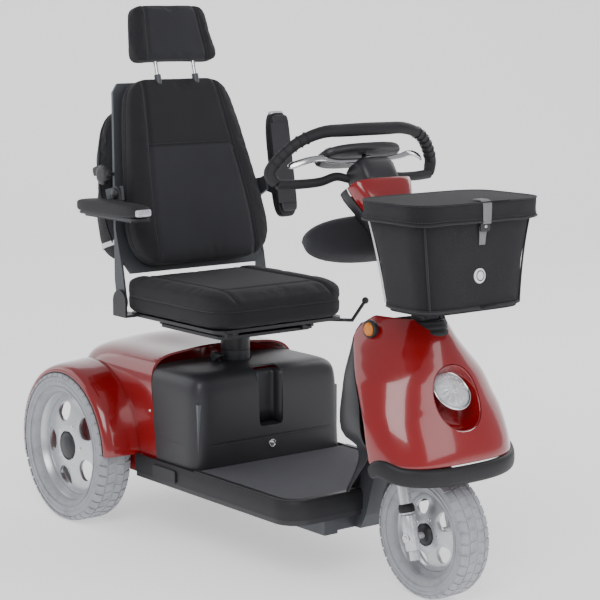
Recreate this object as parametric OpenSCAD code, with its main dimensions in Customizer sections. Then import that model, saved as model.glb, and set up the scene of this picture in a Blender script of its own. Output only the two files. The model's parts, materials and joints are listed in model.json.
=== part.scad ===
// Three-wheeled mobility scooter. Forward is +X, left is +Y, up is +Z, and the wheels stand on z = 0.

/* [Wheels] */
// Distance from the rear axle to the front axle
wheelbase = 1097; // [950:1:1300]
// Distance between the middles of the two rear tyres
rear_track = 578; // [520:1:680]
// Outside diameter of the rear tyres
rear_tyre_d = 400; // [340:1:440]
// Width of the rear tyres
rear_tyre_w = 96; // [80:1:110]
// Outside diameter of the front tyre
front_tyre_d = 300; // [260:1:340]
// Width of the front tyre
front_tyre_w = 86; // [70:1:96]
// Height of a tyre's section, from rim to tread
tyre_section = 58; // [44:1:66]

/* [Platform] */
// Height of the platform's top above the ground
deck_z = 206; // [195:1:240]
// Width of the platform
deck_w = 490; // [440:1:540]
// Height of the chassis tubes
rail_h = 36; // [30:1:44]
// Thickness of the moulded panels
panel = 4; // [3:0.5:6]

/* [Rear body] */
// Width of the battery cover
cover_w = 480; // [420:1:500]
// Height of the battery cover's back edge
cover_top_z = 446; // [430:1:480]
// Gap between neighbouring body panels
panel_gap = 1.5; // [1:0.5:4]

/* [Seat] */
// Diameter of the seat post
post_d = 50; // [40:1:56]
// Height of the top of the seat post
post_top_z = 520; // [515:1:560]
// Depth of the seat cushion, front to back
seat_depth = 458; // [420:1:480]
// Width of the seat cushion
seat_w = 444; // [400:1:460]
// Backward lean of the backrest in degrees
recline = 15.7; // [10:0.1:22]
// Length of the backrest cushion
back_len = 511; // [460:1:560]
// Length of an armrest pad
armrest_len = 287; // [240:1:330]
// Angle by which the left armrest is raised
left_arm_raise = 100; // [0:1:100]
// Length of the headrest posts that shows below the headrest
headrest_gap = 26; // [15:1:60]

/* [Steering] */
// Backward lean of the tiller from upright in degrees
tiller_lean = 32.5; // [20:0.5:40]
// Length of the tiller tube above its hinge
tiller_len = 345; // [300:1:400]
// Rake of the steering axis in degrees
steer_rake = 5.3; // [3:0.1:8]
// Diameter of the steerer tube
steerer_d = 36; // [30:1:40]
// Reach of the handlebar to each side
handlebar_half_w = 260; // [220:1:290]

/* [Basket] */
// Width of the basket at its rim
basket_w = 380; // [320:1:420]
// Height of the basket
basket_h = 237; // [200:1:280]

/* [Hidden] */

$fn = 64;
run_fit = 0.05;                       // radial clearance of a turning fit
soft_gap = 0.3;                       // clearance between a soft pad and what it rests on
big = 2000;                           // longer than anything it cuts
rear_r = rear_tyre_d / 2;
front_r = front_tyre_d / 2;
rear_axle_x = -325;                   // the seat post stands at x = 0
front_x = rear_axle_x + wheelbase;
tail_x = rear_axle_x - rear_r;
nose_x = front_x + 163;               // front of the basket
mid_x = (tail_x + nose_x) / 2;
wheel_y = rear_track / 2;
body_half = wheel_y - rear_tyre_w / 2 - 7;
rail_z1 = deck_z - 54;
rail_z0 = rail_z1 - rail_h;
rail_y = 120;
rail_w = 40;
pan_x0 = -100;
pan_x1 = front_x - 222;
// the front end rises with a larger front tyre
lift = front_tyre_d - 300;
hinge_x = front_x - 28;               // tiller hinge on top of the steering axis
hinge_z = 649 + lift;
axle_back = 18.2;                     // front axle behind the steering axis
axle_drop = 499.4 + (front_tyre_d - 300) / 2;
crown_z = -(axle_drop - front_r - 14);
crown_t = 22;
leg_rake = 15.5;
leg_y = front_tyre_w / 2 + 23;
leg_d = 30;
// seat heights
hub_top = post_top_z + 12;
track_z = hub_top + 4;
runner_z = track_z + 12;
plate_z = runner_z + 8;
cushion_z = plate_z + 8 + soft_gap;
pivot_x = -185;
pivot_z = cushion_z + 31.7;
seat_half = seat_w / 2;
arm_y = seat_half + 2.5;              // inner face of the backrest's side arms
arm_t = 6;
shell_x = 20;                         // back face of the backrest's shell, in the backrest's frame
pad_x0 = 30;
pad_x1 = 106;
back_z0 = 66;
back_z1 = back_z0 + back_len;
head_z = back_z1 + headrest_gap;
post_y = 60;
head_post_x = 84;
head_post_d = 12;
armrest_piv = [71, 271];
tube_d = 34;
head_z0 = tiller_len;
console_z = tiller_len + 80;
bar_z = console_z + 49;
lever_z = tiller_len + 61;

// ---- helpers ----

module at_origin() translate([-mid_x, 0, 0]) children();

// a box given by its low and high corners
module slab(lo, hi) translate(lo) cube(hi - lo);

// a round bar between two points
module rod(p, q, d) {
    v = q - p;
    translate(p)
        rotate([0, acos(v.z / norm(v)), atan2(v.y, v.x)])
            cylinder(h = norm(v), d = d);
}

// a bar through several points with round joints
module bent_rod(points, d) {
    for (i = [0 : len(points) - 2]) rod(points[i], points[i + 1], d);
    for (i = [1 : len(points) - 2]) translate(points[i]) sphere(d = d + 0.6);
}

// a profile drawn in X and Z, and as wide as y0 to y1
module side_profile(points, y0, y1)
    translate([0, y1, 0]) rotate([90, 0, 0]) linear_extrude(y1 - y0) polygon(points);

// a rectangle with round corners, centred
module round_rect(size, r) {
    square([size.x - 2 * r, size.y], center = true);
    square([size.x, size.y - 2 * r], center = true);
    for (x = [-1, 1], y = [-1, 1])
        translate([x * (size.x / 2 - r), y * (size.y / 2 - r)]) circle(r);
}

module across_y(x, z) translate([x, 0, z]) rotate([90, 0, 0]) children();

module both_sides() {
    children();
    mirror([0, 1, 0]) children();
}

module steer_frame() translate([hinge_x, 0, hinge_z]) rotate([0, -steer_rake, 0]) children();
module tiller_frame() translate([hinge_x, 0, hinge_z]) rotate([0, -tiller_lean, 0]) children();
module back_frame_at() translate([pivot_x, 0, pivot_z]) rotate([0, -recline, 0]) children();

// ---- wheels, drawn about their own axle ----

module tyre_shape(r, w) {
    bead = r - tyre_section;
    rotate([90, 0, 0]) rotate_extrude($fn = 96) difference() {
        union() {
            translate([bead, -w / 2 + 12]) square([tyre_section - 16, w - 24]);
            translate([bead, -w / 2 + 22]) square([tyre_section, w - 44]);
            translate([bead + 12, -w / 2]) square([tyre_section - 34, w]);
            for (s = [-1, 1]) {
                translate([r - 22, s * (w / 2 - 22)]) circle(22);
                translate([bead + 12, s * (w / 2 - 12)]) circle(12);
            }
        }
        translate([0, -w]) square([bead, 2 * w]);
    }
}

module rim_shape(r, w, hub_d, windows) {
    seat_r = r - tyre_section;
    rotate([90, 0, 0]) difference() {
        union() {
            rotate_extrude($fn = 96) {
                translate([seat_r - 7, -w / 2 + 12]) square([7, w - 24]);
                translate([0, -6]) square([seat_r - 2, 12]);
            }
            translate([0, 0, -hub_d * 0.55]) cylinder(h = hub_d * 1.1, d = hub_d);
        }
        for (i = [0 : windows - 1]) rotate(i * 360 / windows)
            translate([0, seat_r * 0.62, -20]) {
                translate([0, seat_r * 0.08]) cylinder(h = 40, r = seat_r * 0.2);
                translate([0, -seat_r * 0.13]) cylinder(h = 40, r = seat_r * 0.12);
            }
    }
}

module rear_tyre(s) color("lightgray")
    translate([rear_axle_x, s * wheel_y, rear_r]) tyre_shape(rear_r, rear_tyre_w);

shaft_d = 24;
shaft_in_y = 62;
module rear_rim(s) color("silver") {
    translate([rear_axle_x, s * wheel_y, rear_r]) rim_shape(rear_r, rear_tyre_w, 60, 5);
    // the half shaft that the wheel turns with
    translate([rear_axle_x, s * (wheel_y - 20), rear_r])
        rotate([s * 90, 0, 0]) cylinder(h = wheel_y - 20 - shaft_in_y, d = shaft_d);
}

front_axle_d = 15;
module front_wheel_at() steer_frame() translate([-axle_back, 0, -axle_drop]) children();
module front_tyre() color("lightgray") front_wheel_at() tyre_shape(front_r, front_tyre_w);
module front_rim() color("silver") front_wheel_at() difference() {
    rim_shape(front_r, front_tyre_w, 50, 5);
    across_y(0, 0) cylinder(h = 200, d = front_axle_d + 2 * run_fit, center = true);
}

// ---- chassis ----

module frame_rails() color("dimgray") both_sides()
    slab([bumper_x - 36, rail_y - rail_w / 2, rail_z0], [pan_x1 - 4, rail_y + rail_w / 2, rail_z1]);

bar_xs = [rear_axle_x - 20, -20, 200, pan_x1 - 64];
module frame_crossbars() color("dimgray")
    for (x = bar_xs)
        slab([x, -rail_y + rail_w / 2, rail_z0], [x + 40, rail_y - rail_w / 2, rail_z1]);

head_top = -180;
stay_half = 171.3;
head_low = crown_z + crown_t + 6;
module front_frame() color("gray") difference() {
    union() {
        steer_frame() translate([0, 0, head_low]) cylinder(h = head_top - head_low, d = 58);
        // stay that carries the fairing
        across_y(front_x - 8, 430 + lift) cylinder(h = 2 * stay_half, d = 14, center = true);
        side_profile([[pan_x1 - 24, rail_z0], [pan_x1 - 4, rail_z0], [pan_x1 + 16, rail_z1],
            [front_x - 158, 312 + lift], [front_x - 100, 366 + lift], [front_x - 16, 366 + lift],
            [front_x - 16, 446 + lift], [front_x - 118, 446 + lift], [front_x - 200, 356 + lift],
            [pan_x1 - 24, rail_z1]], -30, 30);
    }
    steer_frame() translate([0, 0, -big / 2]) cylinder(h = big, d = steerer_d + 2 * run_fit);
}

neck_slot = 31;
rim_w = 14;
mat_t = 6;
module pan_plan(inset) {
    x1 = pan_x1 - inset;
    w = deck_w / 2 - inset;
    r = 60 - inset;
    translate([pan_x0 + inset, -w]) square([x1 - r - pan_x0 - inset, 2 * w]);
    translate([pan_x0 + inset, -w + r]) square([x1 - pan_x0 - inset, 2 * (w - r)]);
    for (s = [-1, 1]) translate([x1 - r, s * (w - r)]) circle(r);
}
module floor_pan() color("black") difference() {
    translate([0, 0, rail_z1]) linear_extrude(deck_z + 8 - rail_z1) pan_plan(0);
    translate([0, 0, deck_z]) linear_extrude(20) pan_plan(rim_w);
    // the battery cover stands on the deck without a rim
    slab([-big, -big, deck_z], [cover_x1 + 1, big, deck_z + 20]);
    translate([0, 0, rail_z1 - 1]) linear_extrude(deck_z - panel - rail_z1 + 1) pan_plan(panel);
    // the seat's post and its socket pass through
    translate([0, 0, rail_z1 - 1]) cylinder(h = 100, d = post_d + 18);
    // the front frame passes through the front wall
    slab([pan_x1 - 30, -neck_slot, rail_z1 - 1], [pan_x1 + 1, neck_slot, deck_z + 20]);
}

mat_x0 = 162;
module floor_mat() color("slategray") difference() {
    translate([0, 0, deck_z]) linear_extrude(mat_t) pan_plan(rim_w + 4);
    slab([-big, -big, deck_z - 1], [mat_x0, big, deck_z + 20]);
    slab([pan_x1 - 34, -neck_slot - 4, deck_z - 1], [pan_x1 + 1, neck_slot + 4, deck_z + 20]);
}

module side_reflectors() color("orange") both_sides()
    slab([-8, deck_w / 2, deck_z - 34], [88, deck_w / 2 + 4, deck_z - 8]);

// ---- battery cover and what it hides ----

cover_x1 = 158;
seam_low_x = -14;
seam_top_x = -57;
module cover_profile(t) polygon([
    [seam_low_x, deck_z], [cover_x1 - t, deck_z], [cover_x1 - t, cover_top_z - 58],
    [cover_x1 - 14 - t / 2, cover_top_z - 38], [70, cover_top_z - 12 - t], [seam_top_x, cover_top_z - t]]);
module cover_section(t) {
    half = cover_w / 2 - t;
    top = cover_top_z - t;
    polygon([[-half, 0], [half, 0], [half - 4, top - 46], [half - 14, top - 22], [half - 40, top],
        [-half + 40, top], [-half + 14, top - 22], [-half + 4, top - 46]]);
}
module cover_solid(t) intersection() {
    translate([0, big / 2, 0]) rotate([90, 0, 0]) linear_extrude(big) cover_profile(t);
    translate([-big / 2, 0, 0]) rotate([90, 0, 90]) linear_extrude(big) cover_section(t);
}
slot_w = 76;
slot_x = 112;
slot_z = 297;
module battery_cover() color("black") difference() {
    union() {
        difference() {
            cover_solid(0);
            difference() {
                translate([-0.01, 0, -0.01]) cover_solid(panel);
                slab([slot_x - panel, -slot_w / 2 - panel, slot_z - panel], [big, slot_w / 2 + panel, big]);
            }
            // open towards the rear body
            slab([-big, -cover_w / 2 + panel, deck_z - 1],
                [20, cover_w / 2 - panel, cover_top_z - 22 - panel]);
        }
    }
    slab([slot_x, -slot_w / 2, slot_z], [big, slot_w / 2, big]);
    // the seam below the lift-off top
    slab([cover_x1 - 2.5, -big, 266], [big, -12, 272]);
    slab([cover_x1 - 2.5, 12, 266], [big, big, 272]);
    cylinder(h = big, d = post_d + 34);
}

module batteries() color("darkslategray") both_sides()
    slab([8, 52, deck_z], [146, 222, deck_z + 168]);

socket_d = post_d + 14;
clamp_screw_z = cover_top_z + 14;
module post_socket() color("dimgray") difference() {
    union() {
        translate([0, 0, rail_z1]) cylinder(h = cover_top_z - 6 - rail_z1, d = socket_d);
        translate([0, 0, cover_top_z - 6]) cylinder(h = 32, d = socket_d + 12);
        translate([0, 0, clamp_screw_z]) rotate([90, 0, 0]) cylinder(h = 58, d = 9);
        translate([0, -58, clamp_screw_z]) rotate([90, 0, 0]) cylinder(h = 14, d = 24);
    }
    translate([0, 0, rail_z1 + 6]) cylinder(h = big, d = post_d + 0.1);
}
module seat_post() color("silver")
    translate([0, 0, rail_z1 + 6]) cylinder(h = post_top_z - rail_z1 - 6, d = post_d);

// ---- rear body ----

module rear_profile(t) polygon([
    [seam_low_x - panel_gap, rail_z1 + 8], [seam_low_x - panel_gap, deck_z],
    [seam_top_x - panel_gap, cover_top_z - t],
    [-150, cover_top_z + 16 - t], [-230, cover_top_z + 28 - t], [-301, cover_top_z + 30 - t],
    [-345 + t, cover_top_z + 18 - t], [-430 + t, 392], [-444 + t, 300], [-430 + t, rail_z1 + 8]]);
module rear_section(t) {
    half = body_half - t;
    top = cover_top_z + 30 - t;
    polygon([[-half, 0], [half, 0], [half, top - 74], [half - 8, top - 40], [half - 26, top - 14],
        [half - 60, top], [-half + 60, top], [-half + 26, top - 14], [-half + 8, top - 40],
            [-half, top - 74]]);
}
module rear_solid(t) intersection() {
    translate([0, big / 2, 0]) rotate([90, 0, 0]) linear_extrude(big) rear_profile(t);
    translate([-big / 2, 0, 0]) rotate([90, 0, 90]) linear_extrude(big) rear_section(t);
}
module rear_cover() color("firebrick") difference() {
    rear_solid(0);
    difference() {
        translate([0, 0, -panel]) rear_solid(panel);
        slab([-big, -big, big / 2], [big, big, big]);
    }
    slab([-427, -body_half + panel, 0], [seam_low_x + 20, body_half - panel, 300]);
    slab([pan_x0 - 1, -big, 0], [big, big, deck_z + 0.3]);
    across_y(rear_axle_x, rear_r) cylinder(h = big, d = 64, center = true);
    cylinder(h = big, d = post_d + 34);
    slab([seam_top_x - 2 * panel, -body_half + 60, deck_z + 8], [big, body_half - 60, cover_top_z - 20]);
}

fender_gap = 12;
module fenders() color("firebrick") both_sides() intersection() {
    translate([rear_axle_x, body_half, rear_r]) rotate([-90, 0, 0])
        rotate_extrude($fn = 96)
            translate([rear_r + fender_gap, 0]) square([5, rear_tyre_w - 2]);
    side_profile([[rear_axle_x, rear_r], [rear_axle_x + big, rear_r + big * tan(12)],
        [rear_axle_x, big], [rear_axle_x - big, rear_r + big * tan(30)]], body_half, big);
}

bumper_x = -446;
module rear_bumper() color("black") difference() {
    slab([bumper_x - 46, -170, rail_z1], [bumper_x, 170, rail_z1 + 96]);
    slab([bumper_x - 42, -166, rail_z1 - 1], [bumper_x - 4, 166, rail_z1 + 92]);
    both_sides() slab([bumper_x - 43, rail_y - rail_w / 2, rail_z1 - 1],
        [bumper_x + 1, rail_y + rail_w / 2, rail_z1]);
}
module tail_lights() color("red") both_sides()
    slab([bumper_x - 50, 104, rail_z1 + 48], [bumper_x - 46, 160, rail_z1 + 86]);

module transaxle() color("gray") difference() {
    union() {
        across_y(rear_axle_x, rear_r) cylinder(h = 120, r = rear_r - rail_z1 - 0.3, center = true);
        across_y(rear_axle_x, rear_r) cylinder(h = 2 * body_half - 16, d = 54, center = true);
        slab([rear_axle_x - 30, -58, rail_z1], [rear_axle_x + 30, 58, rear_r]);
    }
    both_sides() translate([rear_axle_x, shaft_in_y - 1, rear_r]) rotate([-90, 0, 0])
        cylinder(h = big, d = shaft_d + 2 * run_fit);
    both_sides() translate([rear_axle_x, body_half - 34, rear_r]) rotate([-90, 0, 0])
        cylinder(h = big, d = shaft_d + 6);
}
module drive_motor() color("dimgray")
    translate([rear_axle_x + rear_r - rail_z1, 0, rear_r]) rotate([0, 90, 0]) {
        cylinder(h = 110, d = 90);
        translate([0, 0, 110]) cylinder(h = 40, d = 76);
    }

// ---- front body ----

// one level of the fairing: height, x of the side edges, half width, x of the nose
levels = [
    [345, -8, 195, 121], [444, -30, 190, 90], [525, -80, 168, 64], [605, -158, 112, 28],
    [652, -126, 78, 6]];
module level_plate(i, t) {
    z = levels[i][0] + lift;
    edge = front_x + levels[i][1];
    half = levels[i][2] - t;
    nose = front_x + levels[i][3] - t;
    r = 0.4 * half;
    for (s = [-1, 1]) {
        translate([edge + 8, s * (half - 8), z]) cylinder(h = 1, r = 8, $fn = 24);
        translate([nose - r, s * 0.4 * half, z]) cylinder(h = 1, r = r, $fn = 32);
    }
}
module fairing_solid(t)
    for (i = [0 : len(levels) - 2]) hull() {
        level_plate(i, t);
        level_plate(i + 1, t);
    }
lamp_x = front_x + 40;
lamp_z = 466 + lift;
lamp_tilt = 70;
lamp_d = 130;
module lamp_at() translate([lamp_x, 0, lamp_z]) rotate([0, lamp_tilt, 0]) children();
module front_fairing() color("firebrick") difference() {
    fairing_solid(0);
    difference() {
        translate([-2 * panel, 0, 0]) fairing_solid(panel);
        slab([-big, -big, 648 + lift], [big * 2, big, big]);
    }
    slab([-big, -big, 0], [big * 2, big, 345.3 + lift]);
    lamp_at() cylinder(h = 200, d = lamp_d);
    steer_frame() translate([0, 0, -120]) cylinder(h = 400, d = 84);
    for (s = [-1, 1]) translate([front_x - 105, s * 200, 624 + lift]) rotate([s * 90, 0, 0])
        cylinder(h = 140, d = 31);
    // open at the back, where the leg shield closes it
    side_profile([[front_x - 400, 0], [front_x - 6, 0], [front_x - 2, 345 + lift],
        [front_x - 24, 444 + lift],
        [front_x - 74, 525 + lift], [front_x - 150, 605 + lift], [front_x - 118, 640 + lift],
        [front_x - 400, 640 + lift]], -big, big);
}

module bumper_plan(back, half, nose, r) hull() for (s = [-1, 1]) {
    translate([front_x + back, s * (half - 12)]) circle(12);
    translate([front_x + nose - r, s * (half - 120)]) circle(r);
}
module fairing_bumper() color("black") difference() {
    translate([0, 0, 300 + lift]) linear_extrude(45) bumper_plan(8, 198, 128, 82);
    translate([0, 0, 299 + lift]) linear_extrude(47) bumper_plan(-40, 184, 112, 74);
}

// a thin panel of the leg shield, from the middle line to one side
module shield_panel(s, low, high) hull() for (p = [low[0], low[1], high[0], high[1]])
    translate([front_x + p[0], s * p[1], p[2] + lift]) sphere(d = panel, $fn = 12);
shield_rows = [
    [[-218, 0, 392], [-24, 180, 392]], [[-208, 0, 444], [-40, 178, 444]],
    [[-194, 0, 525], [-92, 156, 525]], [[-178, 0, 602], [-160, 100, 602]]];
module leg_shield() color("black") {
    for (s = [-1, 1], i = [0 : len(shield_rows) - 2])
        shield_panel(s, shield_rows[i], shield_rows[i + 1]);
    difference() {
        side_profile([[pan_x1 - 68, deck_z + 8], [pan_x1 + 8, deck_z + 8], [front_x - 196, 300 + lift],
            [front_x - 186, 391 + lift], [front_x - 222, 391 + lift]], -72, 72);
        side_profile([[pan_x1 - 60, deck_z - 5], [pan_x1 + 40, deck_z - 5], [front_x - 100, 300 + lift],
            [front_x - 100, 500 + lift], [front_x - 175, 500 + lift]], -67, 67);
    }
}

module headlight_bowl() color("silver") lamp_at() difference() {
    cylinder(h = 40, d = lamp_d - 0.6);
    translate([0, 0, 4]) cylinder(h = 40, d1 = 84, d2 = 112);
}
module headlight_lens() color("white") lamp_at() translate([0, 0, 36]) cylinder(h = 4, d = 105.6);
module front_indicators() color("orange") for (s = [-1, 1])
    translate([front_x - 105, s * 82, 624 + lift]) rotate([-s * 90, 0, 0]) cylinder(h = 30, d = 30.4);

// ---- fork ----

module fork_crown() color("dimgray") steer_frame() {
    translate([0, 0, crown_z + crown_t]) cylinder(h = -24 - crown_z - crown_t, d = steerer_d);
    translate([0, 0, crown_z]) linear_extrude(crown_t)
        translate([-26, 0]) round_rect([104, 2 * leg_y + leg_d + 6], 18);
}
module fork_legs() color("white") steer_frame() difference() {
    translate([-axle_back, 0, -axle_drop]) {
        for (s = [-1, 1]) translate([0, s * leg_y, 0]) rotate([0, -(leg_rake - steer_rake), 0]) {
            translate([0, 0, -52]) cylinder(h = 120, d = leg_d - 6);
            translate([0, 0, 40]) cylinder(h = 200, d = leg_d);
        }
        across_y(0, 0) cylinder(h = 2 * leg_y, d = front_axle_d, center = true);
    }
    slab([-200, -200, crown_z], [200, 200, crown_z + 200]);
}
module front_mudguard() color("black") front_wheel_at() intersection() {
    rotate([90, 0, 0]) rotate_extrude($fn = 96)
        translate([front_r + 9.7, -front_tyre_w / 2]) square([4, front_tyre_w]);
    side_profile([[0, 0], [260, 60], [200, 400], [-200, 400], [-260, 120]], -60, 60);
}

yoke_d = 68;
pin_d = 12;
module tiller_yoke() color("black") steer_frame() {
    difference() {
        union() {
            translate([0, 0, -78]) cylinder(h = 48, d = yoke_d);
            for (s = [-1, 1]) side_at(s * 25, 10) {
                across_disc(44);
                translate([-22, -34]) square([44, 34]);
            }
        }
        translate([0, 0, -90]) cylinder(h = 78, d = steerer_d + 0.1);
    }
    across_y(0, 0) cylinder(h = 60, d = pin_d, center = true);
}
module side_at(y, t) translate([0, y + t / 2, 0]) rotate([90, 0, 0]) linear_extrude(t) children();
module across_disc(d) circle(d = d);

// ---- tiller ----

module tiller_tube() color("dimgray") tiller_frame() difference() {
    union() {
        across_y(0, 0) cylinder(h = 38, d = 40, center = true);
        cylinder(h = tiller_len, d = tube_d);
    }
    across_y(0, 0) cylinder(h = 60, d = pin_d + 2 * run_fit, center = true);
}

module shell_half(front) difference() {
    hull() {
        translate([0, 0, 60]) linear_extrude(1) round_rect([62, 72], 14);
        translate([0, 0, tiller_len - 85]) linear_extrude(1) round_rect([72, 118], 18);
    }
    translate([0, 0, 50]) cylinder(h = big, d = tube_d + 2);
    if (front) slab([-big, -big, 0], [0.4, big, big]);
    else slab([-0.4, -big, 0], [big, big, big]);
}
module shell_top(front) difference() {
    hull() {
        translate([0, 0, tiller_len - 83]) linear_extrude(1) round_rect([74, 122], 18);
        translate([0, 0, tiller_len - 3]) linear_extrude(1) round_rect([88, 176], 20);
    }
    translate([0, 0, 50]) cylinder(h = big, d = tube_d + 2);
    if (front) slab([-big, -big, 0], [0.4, big, big]);
    else slab([-0.4, -big, 0], [big, big, big]);
}
module tiller_shell(front) {
    difference() {
        union() {
            shell_half(front);
            shell_top(front);
            intersection() {
                translate([0, 0, tiller_len - 85]) linear_extrude(3) round_rect([72, 118], 18);
                if (front) slab([0.4, -big, 0], [big, big, big]);
                else slab([-big, -big, 0], [-0.4, big, big]);
            }
        }
        translate([0, 0, 50]) cylinder(h = big, d = tube_d + 2);
        // the basket's clamp goes round the tube
        slab([-100, -29.5, clamp_z - 0.5], [0.1, 29.5, clamp_z + clamp_h + 0.5]);
        slab([0, -29.5, 0], [100, 29.5, clamp_z + clamp_h + 0.5]);
    }
}
module tiller_shell_front() color("firebrick") tiller_frame() tiller_shell(true);
module tiller_shell_rear() color("black") tiller_frame() tiller_shell(false);

module tiller_head() color("black") tiller_frame() {
    translate([0, 0, head_z0]) linear_extrude(lever_z - 2 - head_z0) round_rect([84, 104], 16);
    translate([0, 0, lever_z - 3]) cylinder(h = console_z - lever_z + 3, d = 10);
}

module console() color("black") tiller_frame() difference() {
    union() {
        translate([-20, 0, console_z]) linear_extrude(14) round_rect([104, 236], 40);
        translate([-22, 0, console_z + 14]) linear_extrude(12) round_rect([90, 210], 36);
    }
    translate([-36, -66, console_z + 6]) cylinder(h = 40, d = 12 + 2 * run_fit);
}

module handlebar_top() color("black") tiller_frame()
    rod([35, -110, bar_z], [35, 110, bar_z], 26);
grip_path = [[35, 126, bar_z], [10, 190, bar_z - 14], [-49, handlebar_half_w - 10, bar_z - 52],
    [-58, handlebar_half_w - 26, bar_z - 80]];
module handle_grips() color("black") tiller_frame() both_sides() {
    rod([35, 110.2, bar_z], [35, 128, bar_z], 26);
    for (i = [0 : len(grip_path) - 2]) hull() {
        translate(grip_path[i]) sphere(d = 28, $fn = 24);
        translate(grip_path[i + 1]) sphere(d = 28, $fn = 24);
    }
}
module handlebar_stays() color("black") tiller_frame() both_sides() difference() {
    rod([-28, 44, head_z0 + 34], [-58, handlebar_half_w - 36, bar_z - 82], 18);
    translate([0, 0, head_z0 - 10]) linear_extrude(200) round_rect([84.2, 104.2], 16);
    translate(grip_path[3]) sphere(d = 28.6);
}

lever_half = 205;
module throttle_lever() color("silver") tiller_frame() {
    difference() {
        union() {
            translate([0, 0, lever_z]) cylinder(h = 12, d = 30);
            slab([-8, -131, lever_z], [8, 131, lever_z + 12]);
        }
        translate([0, 0, lever_z - 5]) cylinder(h = 40, d = 10 + 2 * run_fit);
    }
    both_sides() {
        slab([-8, 124, lever_z + 11], [8, 131, lever_z + 26]);
        side_strip([6, 131], [-34, lever_half], 7, lever_z + 8, lever_z + 26);
    }
}
// an upright strip between two plan points
module side_strip(p, q, t, z0, z1) {
    v = q - p;
    translate([p.x, p.y, z0]) rotate([0, 0, atan2(v.y, v.x)])
        translate([0, -t / 2, 0]) cube([norm(v), t, z1 - z0]);
}

module speed_knob() color("silver") tiller_frame() translate([-36, -66, console_z]) {
    translate([0, 0, 8]) cylinder(h = 20, d = 12);
    translate([0, 0, 26.5]) cylinder(h = 12, d = 28);
}

clamp_z = 116;
clamp_h = 36;
basket_base_z = hinge_z + 39;
basket_rim_z = basket_base_z + basket_h;
wall_low = front_x - 22;
wall_high = front_x - 72;
wall_x = function(z) wall_low + (wall_high - wall_low) * (z - basket_base_z) / basket_h;
module basket_bracket() color("dimgray") difference() {
    union() {
        tiller_frame() translate([0, 0, clamp_z]) cylinder(h = clamp_h, d = tube_d + 24);
        side_profile([[wall_x(basket_base_z + 36) - 24, basket_base_z + 36],
            [wall_x(basket_base_z + 20) - 0.3, basket_base_z + 20],
            [wall_x(basket_base_z + 96) - 0.3, basket_base_z + 96],
            [wall_x(basket_base_z + 96) - 6, basket_base_z + 96],
            [wall_x(basket_base_z + 78) - 8, basket_base_z + 74], [hinge_x - 62, basket_base_z + 70],
            [hinge_x - 44, basket_base_z + 44]], -28, 28);
    }
    tiller_frame() cylinder(h = big, d = tube_d + 0.1);
}

// the basket between two heights, drawn in by t on every side
module basket_form(t, z0) hull() {
    translate([(wall_low + nose_x - 20) / 2, 0, z0]) linear_extrude(0.1)
        round_rect([nose_x - 20 - wall_low - 2 * t, basket_w - 80 - 2 * t], 30);
    translate([(wall_high + nose_x - 7) / 2, 0, basket_rim_z]) linear_extrude(0.1)
        round_rect([nose_x - 7 - wall_high - 2 * t, basket_w - 12 - 2 * t], 34);
}
module basket() color("black") difference() {
    basket_form(0, basket_base_z);
    basket_form(3, basket_base_z + 4);
}
module basket_lid() color("black") difference() {
    translate([(wall_high + nose_x) / 2, 0, basket_rim_z - 46]) linear_extrude(54)
        round_rect([nose_x - wall_high, basket_w], 36);
    translate([(wall_high + nose_x) / 2, 0, basket_rim_z - 47]) linear_extrude(47.6)
        round_rect([nose_x - wall_high - 5, basket_w - 5], 34);
    // no skirt at the back, where the lid is hinged
    slab([wall_high - 1, -big, 0], [wall_high + 40, big, basket_rim_z + 0.6]);
}

module tiller_bag() color("dimgray") tiller_frame() hull() {
    for (s = [-1, 1]) {
        translate([-80.3, s * 148, 268]) sphere(d = 84, $fn = 24);
        translate([-104, s * 60, 232]) sphere(d = 74, $fn = 24);
    }
}

// ---- seat ----

module swivel_hub() color("black") difference() {
    union() {
        translate([0, 0, cover_top_z + 27]) cylinder(h = hub_top - cover_top_z - 27, d = post_d + 26);
        translate([0, 0, hub_top - 4]) linear_extrude(track_z - hub_top + 4) round_rect([280, 290], 20);
        for (s = [-1, 1]) slab([-150, s * 120 - 15, track_z - 4], [150, s * 120 + 15, track_z + 12]);
    }
    translate([0, 0, 0]) cylinder(h = post_top_z + 0.5, d = post_d + 2 * run_fit);
    for (s = [-1, 1]) slab([-big, s * 120 - 5.3, track_z + 5], [big, s * 120 + 5.3, track_z + 20]);
}

pivot_pin_d = 12;
bracket_y = arm_y + arm_t + 0.5;
module seat_base() color("black") {
    // runners, their tongues and the plate under the cushion
    for (s = [-1, 1]) {
        slab([-170, s * 120 - 5, track_z + 5.4], [170, s * 120 + 5, plate_z + 1]);
        slab([-170, s * 120 - 15, track_z + 12.3], [170, s * 120 + 15, plate_z + 1]);
    }
    translate([0, 0, plate_z]) linear_extrude(8) round_rect([410, 400], 30);
    both_sides() {
        slab([pivot_x - 30, 190, plate_z], [pivot_x + 30, bracket_y + 6, plate_z + 6]);
        translate([0, bracket_y + 6, 0]) rotate([90, 0, 0]) linear_extrude(6) {
            translate([pivot_x - 30, plate_z]) square([60, pivot_z - plate_z]);
            translate([pivot_x, pivot_z]) circle(30);
        }
        translate([pivot_x, bracket_y + 1, pivot_z]) rotate([90, 0, 0])
            cylinder(h = arm_t + 2, d = pivot_pin_d);
    }
}

module seat_cushion() color("dimgray") hull() {
    for (s = [-1, 1]) {
        translate([seat_depth / 2 - 36, s * (seat_half - 36), cushion_z + 36]) sphere(r = 36, $fn = 24);
        translate([-seat_depth / 2 + 20, s * (seat_half - 30), cushion_z + 30])
            cylinder(h = 58, r = 20, $fn = 24);
        translate([seat_depth / 2 - 70, s * (seat_half - 30), cushion_z]) cylinder(h = 84, r = 30, $fn = 24);
    }
    translate([-seat_depth / 2, -seat_half + 20, cushion_z]) cube([20, seat_w - 40, 60]);
}

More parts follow.
